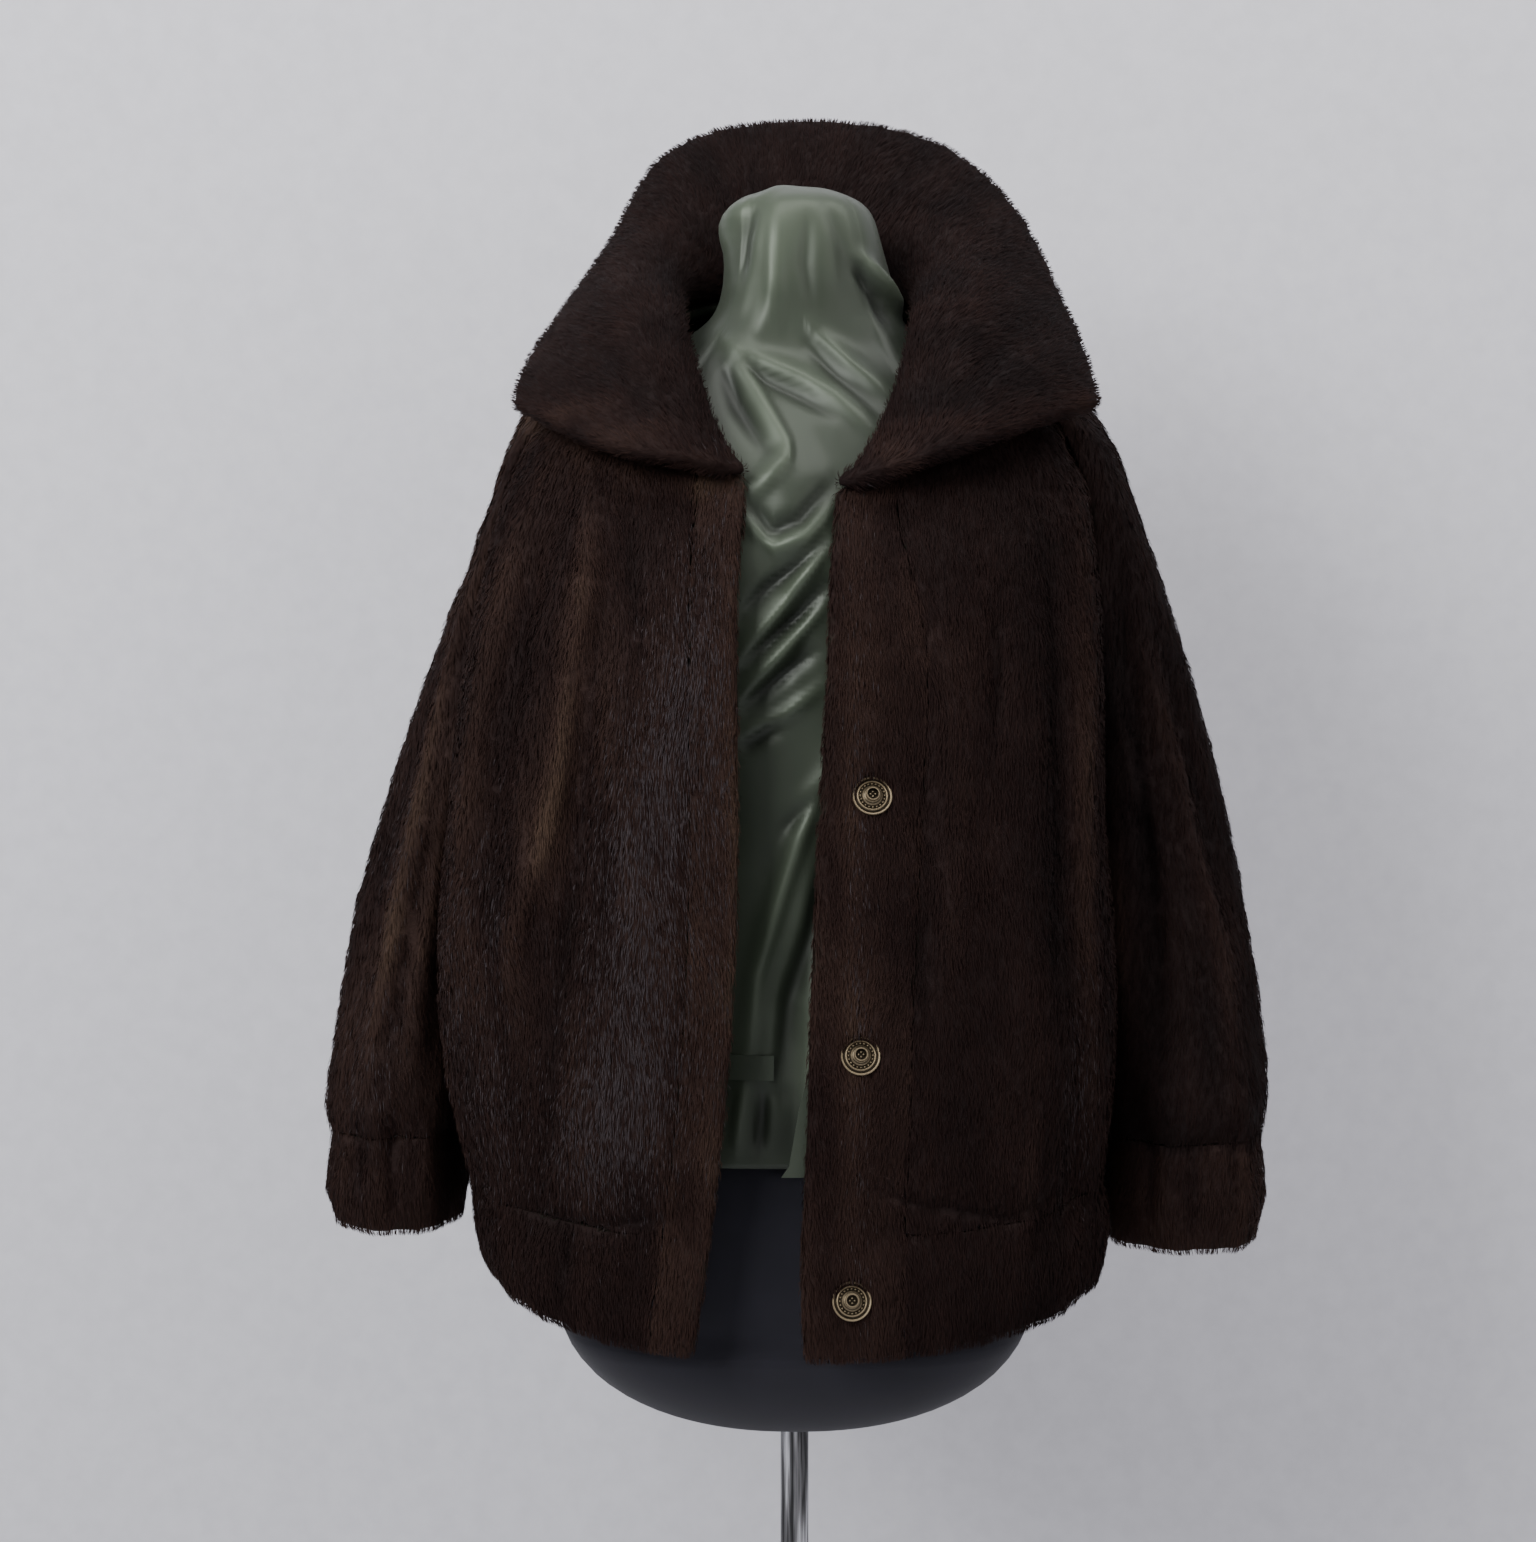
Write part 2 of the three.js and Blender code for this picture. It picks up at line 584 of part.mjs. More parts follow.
function sleeveParts(surface) {
  const levels = [CUFF_TOP + levelShift(surface, 0, CUFF_TOP, SEAM_GAP / 2), ...SLEEVE_LEVELS];
  const crown = [sleeveCrown(surface, 0), sleeveCrown(surface, FUR_WALL)];
  const outerAt = sleevePoint(surface, levels, 0);
  const innerAt = sleevePoint(surface, levels, FUR_WALL);
  const wall = wallGeometry(levels.length, SLEEVE_COLUMN_COUNT, outerAt, innerAt, { around: true, crown });
  const open = levels.filter((at) => rowAt(surface.rows, at).zSide > UNDERARM - UNDERARM_SPREAD);
  const foot = new THREE.Vector3(rowAt(surface.rows, open[0]).middle, 40, rowAt(surface.rows, open[0]).zSide);
  const boreAt = sleevePoint(surface, open, FUR_WALL);
  const bore = filledGeometry(open.length, SLEEVE_COLUMN_COUNT, boreAt, foot, crown[1]);
  return { wall: solidOf(wall), bore: solidOf(bore) };
}

// Pieces of the body, each between two bearings and two levels of the same surface
const edgeBearing = (at, x) => {
  const ring = rowAt(BODY_RINGS, at);
  const reach = Math.abs(x / (x < 0 ? ring.left : ring.right));
  const bearing = Math.asin(Math.min(1, reach ** (ring.squareFront / 2)));
  return x < 0 ? bearing : full - bearing;
};
const rightEdge = (at) => edgeBearing(at, rowAt(BODY_RINGS, at).rightEdge);
const leftEdge = (at) => edgeBearing(at, rowAt(BODY_RINGS, at).leftEdge);
const rightBandSeam = (at) => edgeBearing(at, rowAt(BODY_RINGS, at).rightEdge - RIGHT_BAND_WIDTH);
const leftBandSeam = (at) => {
  const width = mix(LEFT_BAND_WIDTH, LEFT_BAND_NECK_WIDTH, smooth(0.6, 1, at));
  return edgeBearing(at, rowAt(BODY_RINGS, at).leftEdge + width);
};
const rightSideSeam = () => SIDE_SEAM;
const leftSideSeam = () => full - SIDE_SEAM;
const bearingShift = (bearing, at, gap) => {
  const step = 1e-3;
  return (gap * step) / body.plain(bearing + step, at).distanceTo(body.plain(bearing, at));
};

// from and to give the bearing of each side at a level. shares places the columns between them.
function bodyPanel(from, to, shares, levels, trim = {}) {
  const bearingAt = (r, c) => {
    const at = levels[r];
    const [start, end] = [from(at), to(at)];
    const half = (SEAM_GAP / 2) * (1 + 2.5 * smooth(0.8, 0.94, at));
    const first = start + (trim.from === false ? 0 : bearingShift(start, at, half));
    const last = end - (trim.to === false ? 0 : bearingShift(end, at, half));
    return mix(first, last, shares[c]);
  };
  const at = (depth) => (r, c) => body.point(bearingAt(r, c), levels[r], depth);
  return wallGeometry(levels.length, shares.length, at(0), at(FUR_WALL));
}
const BODY_LEVELS = [0, 0.033, 0.067, HEM_BAND_TOP]
  .concat([0.125, 0.16, 0.21, 0.29, 0.38, 0.48, 0.58, 0.67, 0.75, 0.82, 0.88, 0.94, 1]);
const hemShift = levelShift(body, SIDE_SEAM, HEM_BAND_TOP, SEAM_GAP / 2);
const HEM_LEVELS = BODY_LEVELS.filter((at) => at < HEM_BAND_TOP).concat(HEM_BAND_TOP - hemShift);
const PANEL_LEVELS = [HEM_BAND_TOP + hemShift, ...BODY_LEVELS.filter((at) => at > HEM_BAND_TOP)];
const BAND_LEVELS = [...HEM_LEVELS, ...PANEL_LEVELS];
const FRONT_SHARES = [...steps(0, 0.34, 5), ...steps(0.4, 1, 12)];
const LEFT_FRONT_SHARES = FRONT_SHARES.map((share) => 1 - share).reverse();
const BACK_SHARES = steps(0, 1, 30);
const BAND_SHARES = steps(0, 1, 4);
const WIDE_BAND_SHARES = steps(0, 1, 6);


// Everything inside the jacket's outer face, on the panels' own columns and levels.
// It trims what is sewn on the jacket or lies over it.
const ROUND = [
  { from: rightEdge, to: rightBandSeam, shares: BAND_SHARES },
  { from: rightBandSeam, to: rightSideSeam, shares: FRONT_SHARES },
  { from: rightSideSeam, to: leftSideSeam, shares: BACK_SHARES },
  { from: leftSideSeam, to: leftBandSeam, shares: LEFT_FRONT_SHARES },
  { from: leftBandSeam, to: leftEdge, shares: WIDE_BAND_SHARES },
];
const roundBearings = (at) =>
  ROUND.flatMap(({ from, to, shares }) =>
    shares.slice(0, -1).map((share) => mix(from(at), to(at), share)),
  ).concat([leftEdge(at)]);
function filledBody(grow) {
  const rings = BAND_LEVELS.map((at) => roundBearings(at).map((bearing) => body.point(bearing, at, -grow)));
  // Its top clears the cut edge of the neckline too.
  for (const depth of [-grow, FUR_WALL]) {
    const rim = roundBearings(1).map((bearing) => {
      const rise = body.plain(bearing, 1).sub(body.plain(bearing, 0.999)).setLength(grow + 0.4);
      return body.point(bearing, 1, depth).add(rise);
    });
    rings.push(rim);
  }
  const foot = new THREE.Vector3(0, -10, 760);
  const top = new THREE.Vector3(0, -20, 1340);
  return solidOf(filledGeometry(rings.length, rings[0].length, (r, c) => rings[r][c], foot, top));
}
const innerBody = filledBody(REST_GAP + 0.2);
const rightSleeveParts = sleeveParts(rightSleeve);
const leftSleeveParts = sleeveParts(leftSleeve);
const bores = rightSleeveParts.bore.add(leftSleeveParts.bore);

function addFur(name, geometry) {
  const cut = solidOf(geometry).subtract(bores).subtract(satinFilled);
  return addMesh(name, geometryOf(cut), "fur");
}
addFur("front_right", bodyPanel(rightBandSeam, rightSideSeam, FRONT_SHARES, PANEL_LEVELS));
addFur("front_left", bodyPanel(leftSideSeam, leftBandSeam, LEFT_FRONT_SHARES, PANEL_LEVELS));
addFur("back", bodyPanel(rightSideSeam, leftSideSeam, BACK_SHARES, PANEL_LEVELS));
addFur("hem_right", bodyPanel(rightBandSeam, rightSideSeam, FRONT_SHARES, HEM_LEVELS));
addFur("hem_left", bodyPanel(leftSideSeam, leftBandSeam, LEFT_FRONT_SHARES, HEM_LEVELS));
addFur("hem_back", bodyPanel(rightSideSeam, leftSideSeam, BACK_SHARES, HEM_LEVELS));

for (const [side, surface, parts] of [
  ["right", rightSleeve, rightSleeveParts],
  ["left", leftSleeve, leftSleeveParts],
]) {
  addMesh("sleeve_" + side, geometryOf(parts.wall.subtract(innerBody)), "fur");
  addMesh("cuff_" + side, cuffGeometry(surface), "fur");
}

// The collar rises from the neckline, and rolls out to its edge
const COLLAR_SPANS = steps(0, 1, 28);
const COLLAR_RISES = [0, 0.16, 0.34, 0.52, 0.7, 0.87, 1];
function collarPlain(span, rise) {
  const bearing = mix(rightEdge(1), leftEdge(1), span);
  const root = body.plain(bearing, 1);
  const line = rowAt(COLLAR_LINE, span);
  const roll = new THREE.Vector3(line.rollX, line.rollY, line.rollZ);
  const edge = new THREE.Vector3(line.x, line.y, line.z);
  return root
    .multiplyScalar((1 - rise) ** 2)
    .addScaledVector(roll, 2 * rise * (1 - rise))
    .addScaledVector(edge, rise ** 2);
}
function collarPoint(span, rise, depth) {
  const step = 1e-3;
  const along = collarPlain(Math.min(1, span + step), rise).sub(collarPlain(Math.max(0, span - step), rise));
  const up = collarPlain(span, Math.min(1, rise + step)).sub(collarPlain(span, Math.max(0, rise - step)));
  return collarPlain(span, rise).addScaledVector(up.cross(along).normalize(), -depth);
}
const collarHalf = (rise) => (COLLAR_WALL / 2) * (1 - 0.35 * smooth(0.85, 1, rise));
const collarAt = (side) => (r, c) => {
  const rise = COLLAR_RISES[r];
  return collarPoint(COLLAR_SPANS[c], rise, side * collarHalf(rise));
};
const collarWall = wallGeometry(COLLAR_RISES.length, COLLAR_SPANS.length, collarAt(1), collarAt(-1));
addMesh("collar", geometryOf(solidOf(collarWall).subtract(innerBody).subtract(satinFilled)), "fur");

// Snap fasteners: studs on the left front's band, sockets behind the right front's band
const snapProfile = [
  [0, 4.6],
  [1.8, 4.6],
  [2, 7.2],
  [4, 7.2],
  [4.6, 4.4],
  [8, 3.6],
  [9, 2.4],
  [12, 2.4],
  [SNAP_RADIUS, 0],
  [0, 0],
].map(([radius, height]) => new THREE.Vector2(radius, height));
const socketProfile = [
  [0, 1.4],
  [3.4, 1.4],
  [3.4, 3],
  [6.5, 3],
  [9, 1.2],
  [9, 0],
  [0, 0],
].map(([radius, height]) => new THREE.Vector2(radius, height));
const turned = (profile, segments) =>
  new THREE.LatheGeometry(profile.toReversed(), segments).rotateX(Math.PI / 2);
const zAxis = new THREE.Vector3(0, 0, 1);
// A snap half sunk into the fur where it is set. Gives back the pocket that its band needs.
function setSnap(name, profile, { at, edge, fromEdge, depth, sink, tilt, inwards }) {
  const bearing = edgeBearing(at, rowAt(BODY_RINGS, at)[edge] + fromEdge);
  const axis = body.normal(bearing, at).applyAxisAngle(new THREE.Vector3(1, 0, 0), -tilt);
  if (inwards) axis.negate();
  const snap = addMesh(name, turned(profile, 14), "snap");
  snap.position.copy(body.point(bearing, at, depth)).addScaledVector(axis, -sink);
  snap.quaternion.setFromUnitVectors(zAxis, axis);
  const radius = Math.max(...profile.map((p) => p.x)) + REST_GAP + 0.2;
  const reach = 20;
  return solidOf(
    new THREE.CylinderGeometry(radius, radius, reach, 20)
      .rotateX(Math.PI / 2)
      .translate(0, 0, reach / 2 - REST_GAP - 0.1)
      .applyQuaternion(snap.quaternion)
      .translate(snap.position.x, snap.position.y, snap.position.z),
  );
}
let bandLeft = solidOf(bodyPanel(leftBandSeam, leftEdge, WIDE_BAND_SHARES, BAND_LEVELS, { to: false }));
let bandRight = solidOf(bodyPanel(rightEdge, rightBandSeam, BAND_SHARES, BAND_LEVELS, { from: false }));
SNAP_LEVELS.forEach((at, i) => {
  const stud = { edge: "leftEdge", fromEdge: SNAP_FROM_EDGE, depth: 0, sink: SNAP_RECESS, tilt: SNAP_TILT };
  bandLeft = bandLeft.subtract(setSnap("snap_stud_" + (i + 1), snapProfile, { at, ...stud }));
  const socket = { edge: "rightEdge", fromEdge: -SOCKET_FROM_EDGE, depth: FUR_WALL, sink: 1, tilt: 0 };
  const behind = { at, ...socket, inwards: true };
  bandRight = bandRight.subtract(setSnap("snap_socket_" + (i + 1), socketProfile, behind));
});
addMesh("band_left", geometryOf(bandLeft.subtract(satinFilled)), "fur");
addMesh("band_right", geometryOf(bandRight.subtract(satinFilled)), "fur");

// Satin pieces: the lining, a tab stitched across its front, and the tail of the left front's own lining
addMesh("satin_lining", satinGeometry, "satin");
const tabPoint = (lift) => (r, c) => satin.point(TAB_BEARINGS[c], TAB_LEVELS[r], -lift);
addMesh(
  "lining_tab",
  wallGeometry(TAB_LEVELS.length, TAB_BEARINGS.length, tabPoint(REST_GAP + SATIN_WALL), tabPoint(REST_GAP)),
  "satin",
);
const tailPoint = (depth) => (r, c) => {
  const at = TAIL_LEVELS[r];
  const reach = mix(TAIL_REACH, 1, r / (TAIL_LEVELS.length - 1));
  const { leftEdge: edge } = rowAt(BODY_RINGS, at);
  return body.point(edgeBearing(at, mix(edge + TAIL_HIDDEN, edge - reach, c / 4)), at, depth);
};
const tailDepth = FUR_WALL + 2 * REST_GAP;
addMesh(
  "lining_tail",
  wallGeometry(TAIL_LEVELS.length, 5, tailPoint(tailDepth), tailPoint(tailDepth + SATIN_WALL)),
  "satin",
);

// The form, its pole and its base
addMesh("dress_form", geometryOf(formSolid.subtract(solidOf(poleHole))), "form");
const poleGeometry = new THREE.CylinderGeometry(POLE_RADIUS, POLE_RADIUS, POLE_TOP - POLE_FOOT, 24);
const pole = addMesh("stand_pole", poleGeometry, "chrome");
pole.rotation.x = Math.PI / 2;
pole.position.z = (POLE_TOP + POLE_FOOT) / 2;
const baseProfile = [
  [0, POLE_FOOT - REST_GAP],
  [POLE_RADIUS + REST_GAP, POLE_FOOT - REST_GAP],
  [POLE_RADIUS + REST_GAP, 46],
  [18, 46],
  [21, 42],
  [24, 15],
  [40, 11],
  [BASE_RADIUS - 4, 8],
  [BASE_RADIUS, 4],
  [BASE_RADIUS, 0],
  [0, 0],
].map(([radius, height]) => new THREE.Vector2(radius, height));
addMesh("stand_base", turned(baseProfile, 28), "chrome");

export default jacket;
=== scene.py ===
# %% [markdown]
# # A fur coat on a dress form stand
# The coat is a hip-length jacket of dark mink with a wide collar, worn by a limbless dress form on a chrome
# pole. A green satin lining covers the form and shows in the open front. The solids come in ready-made and to
# scale. Here they get what solids can't have: the fur itself, the satin's fine folds, metal, cloth and light.

# %% Load the measured solids
import math

import bmesh
import bpy
import numpy as np
from mathutils import Matrix, Vector
from mathutils.bvhtree import BVHTree


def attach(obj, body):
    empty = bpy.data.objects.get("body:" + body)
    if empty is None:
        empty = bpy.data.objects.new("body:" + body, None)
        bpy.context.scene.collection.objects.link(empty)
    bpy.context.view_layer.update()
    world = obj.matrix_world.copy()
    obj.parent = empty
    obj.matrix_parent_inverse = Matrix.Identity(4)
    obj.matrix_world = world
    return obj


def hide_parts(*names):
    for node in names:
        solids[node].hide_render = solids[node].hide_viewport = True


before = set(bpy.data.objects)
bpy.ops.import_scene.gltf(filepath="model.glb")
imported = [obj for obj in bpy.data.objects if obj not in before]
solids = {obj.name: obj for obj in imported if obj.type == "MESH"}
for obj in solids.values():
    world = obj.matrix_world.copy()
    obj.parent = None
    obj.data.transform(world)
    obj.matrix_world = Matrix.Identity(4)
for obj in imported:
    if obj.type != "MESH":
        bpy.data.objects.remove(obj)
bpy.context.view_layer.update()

MM = 0.001

# %% [markdown]
# ## Camera
# The photograph was taken from 1.7 m, level with the collar, with the lens tipped down a little. The camera
# is made first, so that every later piece can be judged in the photograph's own frame.

# %% Camera
PHOTO_WIDTH = 1536
CAMERA_DISTANCE = 1.7
CAMERA_HEIGHT = 1.2
CAMERA_TIP = 3.5
FOCAL_PIXELS = 1.4 * 1000 * CAMERA_DISTANCE / math.cos(math.radians(CAMERA_TIP))

camera_data = bpy.data.cameras.new("camera")
camera_data.sensor_fit = "HORIZONTAL"
camera_data.sensor_width = 36
camera_data.lens = 36 * FOCAL_PIXELS / PHOTO_WIDTH
camera = bpy.data.objects.new("camera", camera_data)
bpy.context.collection.objects.link(camera)
camera.location = (-0.0193, -CAMERA_DISTANCE, CAMERA_HEIGHT)
camera.rotation_euler = (math.radians(90 - CAMERA_TIP), 0, 0)
bpy.context.scene.camera = camera
print("camera lens", round(camera_data.lens, 2), "mm")

# %% [markdown]
# ## Small helpers
# An operator works on whatever is selected, so `take_up` leaves one piece selected and active. Points are
# handled as numpy arrays, because fur means hundreds of thousands of them.


# %% Helpers for pieces and points
def take_up(piece):
    """Selects one piece alone and makes it active."""
    bpy.ops.object.select_all(action="DESELECT")
    piece.select_set(True)
    bpy.context.view_layer.objects.active = piece


def apply_modifiers(piece):
    take_up(piece)
    for modifier in list(piece.modifiers):
        bpy.ops.object.modifier_apply(modifier=modifier.name)


def read_points(mesh, what="co"):
    flat = np.empty(3 * len(mesh.vertices), np.float32)
    mesh.vertices.foreach_get(what, flat)
    return flat.reshape(-1, 3).astype(float)


def write_points(mesh, points):
    mesh.vertices.foreach_set("co", points.astype(np.float32).ravel())
    mesh.update()


def store(mesh, name, values):
    """Keeps one number for each point, for a material to read."""
    layer = mesh.attributes.new(name, "FLOAT", "POINT")
    layer.data.foreach_set("value", np.asarray(values, np.float32))


def unit(vectors):
    return vectors / np.maximum(np.linalg.norm(vectors, axis=-1, keepdims=True), 1e-9)


def blend(low, high, values):
    """0 below low, 1 above high, and soft in between."""
    t = np.clip((values - low) / (high - low), 0, 1)
    return t * t * (3 - 2 * t)


def ripple(points, size, seed):
    """A smooth random field of about -1 to 1 made of crossing waves, size metres long."""
    dice = np.random.default_rng(seed)
    total = np.zeros(len(points))
    for _ in range(8):
        turn = unit(dice.normal(size=3)) * 2 * math.pi / (size * dice.uniform(0.7, 1.5))
        total += np.sin(points @ turn + dice.uniform(0, 2 * math.pi))
    return total / 2.8


def object_from(name, points, faces):
    """A new object from arrays of points and of faces with equally many corners."""
    mesh = bpy.data.meshes.new(name)
    corners = faces.shape[1]
    mesh.vertices.add(len(points))
    mesh.vertices.foreach_set("co", points.astype(np.float32).ravel())
    mesh.loops.add(faces.size)
    mesh.loops.foreach_set("vertex_index", faces.astype(np.int32).ravel())
    mesh.polygons.add(len(faces))
    mesh.polygons.foreach_set("loop_start", np.arange(0, faces.size, corners, dtype=np.int32))
    mesh.update(calc_edges=True)
    piece = bpy.data.objects.new(name, mesh)
    bpy.context.collection.objects.link(piece)
    return piece


# %% [markdown]
# ## Writing a finish
# A material is a network of nodes. `Signal` wraps one socket, so that sums are written as sums, and
# `Finish.node` adds any other node. Only what changes over the surface goes through nodes. Plain numbers are
# set on the shader itself.


# %% Signals and finishes
class Signal:
    """One output socket, with which sums can be written as Python."""

    def __init__(self, finish, socket):
        self.finish = finish
        self.socket = socket

    def _sum(self, operation, first, second):
        return self.finish.node("ShaderNodeMath", {"operation": operation}, {0: first, 1: second})

    def __add__(self, other):
        return self._sum("ADD", self, other)

    def __radd__(self, other):
        return self._sum("ADD", other, self)

    def __sub__(self, other):
        return self._sum("SUBTRACT", self, other)

    def __rsub__(self, other):
        return self._sum("SUBTRACT", other, self)

    def __mul__(self, other):
        return self._sum("MULTIPLY", self, other)

    def __rmul__(self, other):
        return self._sum("MULTIPLY", other, self)

    def __pow__(self, other):
        return self._sum("POWER", self, other)


class Finish:
    """A material with one shader, which further nodes feed."""

    def __init__(self, name, slot, **constants):
        self.slot = slot
        self.material = bpy.data.materials.new(name)
        self.material.use_nodes = True
        self.tree = self.material.node_tree
        self.shader = self.tree.nodes["Principled BSDF"]
        for socket, value in constants.items():
            self.shader.inputs[socket.replace("_", " ")].default_value = value

    def node(self, kind, settings=None, inputs=None, output=0):
        made = self.tree.nodes.new(kind)
        for name, value in (settings or {}).items():
            if name == "stops":
                ramp = made.color_ramp
                while len(ramp.elements) < len(value):
                    ramp.elements.new(0.5)
                for element, (place, colour) in zip(ramp.elements, value):
                    element.position = place
                    element.color = (*colour, 1)
            else:
                setattr(made, name, value)
        for name, value in (inputs or {}).items():
            if isinstance(value, Signal):
                self.tree.links.new(value.socket, made.inputs[name])
            else:
                made.inputs[name].default_value = value
        return Signal(self, made.outputs[output])

    def attribute(self, name):
        return self.node("ShaderNodeAttribute", {"attribute_name": name}, output="Fac")

    def place(self):
        return self.node("ShaderNodeTexCoord", output="Object")

    def noise(self, scale, detail=2.0, place=None):
        spot = place or self.place()
        return self.node("ShaderNodeTexNoise", None, {"Vector": spot, "Scale": scale, "Detail": detail})

    def ramp(self, value, stops):
        return self.node("ShaderNodeValToRGB", {"stops": stops}, {"Fac": value})

    def mix(self, first, second, share):
        return self.node("ShaderNodeMix", {"data_type": "RGBA"}, {0: share, 6: first, 7: second}, output=2)

    def darken(self, colour, share):
        grey = self.node("ShaderNodeCombineColor", None, {0: share, 1: share, 2: share})
        settings = {"data_type": "RGBA", "blend_type": "MULTIPLY"}
        return self.node("ShaderNodeMix", settings, {0: 1.0, 6: colour, 7: grey}, output=2)

    def bump(self, height, strength, distance):
        numbers = {"Height": height, "Strength": strength, "Distance": distance}
        return self.node("ShaderNodeBump", None, numbers, output=0)

    def feed(self, **links):
        for socket, signal in links.items():
            self.tree.links.new(signal.socket, self.shader.inputs[socket.replace("_", " ")])
        return self

    def put_on(self, piece):
        piece.data.materials.clear()
        piece.data.materials.append(self.material)
        return piece


# %% [markdown]
# ## The colours of mink
# Mink is dressed as narrow pelts sewn side by side, each darkest along its back and redder at its flanks.
# Every hair carries one number, its tone, which runs from a painted cool grey sheen over black-brown to a
# rusty light brown. Besides the fur's own colour, the tone carries painted light: painted sheen, painted
# highlights and rim light, and painted shade in crease valleys. The colour ramp is shared by the hairs and by
# the hide under them, so no gap between hairs shows.

# %% Fur finishes
# The two lowest stops, pale cool grey, are painted sheen: the window light glancing off the fur, given to the
# hairs as colour.
FUR_TONES = [
    (0.0, (0.050, 0.042, 0.044)),
    (0.12, (0.035, 0.028, 0.029)),
    (0.22, (0.0080, 0.0052, 0.0050)),
    (0.5, (0.0150, 0.0084, 0.0074)),
    (0.75, (0.029, 0.0165, 0.0130)),
    (1.0, (0.060, 0.038, 0.026)),
]
LINING_GREEN = (0.018, 0.023, 0.015)

hair_finish = Finish(
    "fur_hair", "fur", Roughness=0.6, Specular_IOR_Level=0.02,
    Sheen_Weight=0.014, Sheen_Tint=(1, 0.66, 0.55, 1),
)
hair_colour = hair_finish.ramp(hair_finish.attribute("tone"), FUR_TONES)
tip_light = 0.84 + 0.28 * hair_finish.attribute("tip")
hair_finish.feed(Base_Color=hair_finish.darken(hair_colour, tip_light))

hide_finish = Finish("fur_underwool", "fur", Specular_IOR_Level=0.08)
wool_noise = hide_finish.noise(420, 3)
wool_colour = hide_finish.ramp(hide_finish.attribute("tone"), FUR_TONES)
wool_dark = hide_finish.darken(wool_colour, 0.72 + 0.4 * wool_noise)
hide_colour = hide_finish.mix(wool_dark, (*LINING_GREEN, 1), hide_finish.attribute("inside"))
hide_finish.feed(
    Base_Color=hide_colour,
    Roughness=0.8 - 0.35 * hide_finish.attribute("inside"),
    Normal=hide_finish.bump(wool_noise, 0.5, 0.001),
)
print("fur finishes:", hair_finish.material.name, hide_finish.material.name)

# %% [markdown]
# ## What each fur piece is
# One row for each piece: the width and length that it was cut to before it was sewn and gathered, the share
# of that rectangle that the pattern piece fills, how many hairs it grows, their length, and how light or
# red its fur is. The front strips and the collar are the reddest, and the coat's left front is nearly
# black.

# %% Table of fur pieces
FUR_PIECES = {
    # name: (width, length, filled share, hairs, hair length in mm, tone)
    "front_right": (0.29, 0.60, 0.85, 57000, 9.5, 0.52),
    "front_left": (0.26, 0.60, 0.85, 50000, 9.5, 0.43),
    "back": (0.62, 0.64, 0.9, 56000, 12, 0.42),
    "hem_right": (0.20, 0.085, 1.0, 9000, 9, 0.48),
    "hem_left": (0.21, 0.085, 1.0, 9000, 9, 0.42),
    "hem_back": (0.50, 0.08, 1.0, 11000, 11, 0.42),
    "band_right": (0.034, 0.64, 1.0, 10000, 9, 0.68),
    "band_left": (0.07, 0.64, 0.92, 18000, 9, 0.60),
    "sleeve_right": (0.38, 0.50, 0.85, 45000, 9.5, 0.60),
    "sleeve_left": (0.40, 0.50, 0.9, 43000, 9.5, 0.36),
    "cuff_right": (0.29, 0.07, 1.0, 9500, 9, 0.58),
    "cuff_left": (0.33, 0.078, 1.0, 9500, 9, 0.64),
    "collar": (0.81, 0.17, 0.76, 70000, 10, 0.33),
}
FUR_PARTS = {
    # part of the coat: the pieces that are sewn together in it
    "body": [
        "front_right", "front_left", "back", "hem_right", "hem_left", "hem_back", "band_right", "band_left",
    ],
    "right_arm": ["sleeve_right", "cuff_right"],
    "left_arm": ["sleeve_left", "cuff_left"],
    "collar": ["collar"],
}
print("hairs in all:", sum(row[3] for row in FUR_PIECES.values()))

# %% [markdown]
# ## The grain
# Fur lies the way the pelt was sewn in. On the body and sleeves it points down. On the collar it points
# from the neckline out to the edge. The collar is swept along its roll and its edge, which are given here
# at the same places as in the solid, so that each hair can find its way out.

# %% Lines of the collar, in millimetres
COLLAR_LINE = np.array([
    # edge x, y, z, roll x, y, z
    (-193, -66, 1349, -106, -176, 1312),
    (-187, -32, 1377, -108, -160, 1350),
    (-164, 28, 1426, -106, -92, 1412),
    (-132, 84, 1484, -90, 2, 1476),
    (-104, 112, 1542, -70, 56, 1520),
    (-62, 120, 1568, -38, 78, 1532),
    (8, 124, 1577, 2, 82, 1534),
    (68, 120, 1572, 42, 78, 1532),
    (121, 112, 1551, 76, 56, 1522),
    (163, 84, 1504, 100, 2, 1480),
    (190, 28, 1432, 116, -92, 1414),
    (202, -32, 1380, 116, -160, 1350),
    (205, -66, 1349, 104, -176, 1310),
]) * MM
LINE_STEPS = 240
line_places = np.linspace(0, len(COLLAR_LINE) - 1, LINE_STEPS)
collar_line = np.stack(
    [np.interp(line_places, np.arange(len(COLLAR_LINE)), column) for column in COLLAR_LINE.T], axis=1
)
collar_edge, collar_roll = collar_line[:, :3], collar_line[:, 3:]
collar_length = np.linalg.norm(np.diff(collar_edge, axis=0), axis=1).sum()
print("the collar's outer edge is", round(collar_length, 2), "m long")


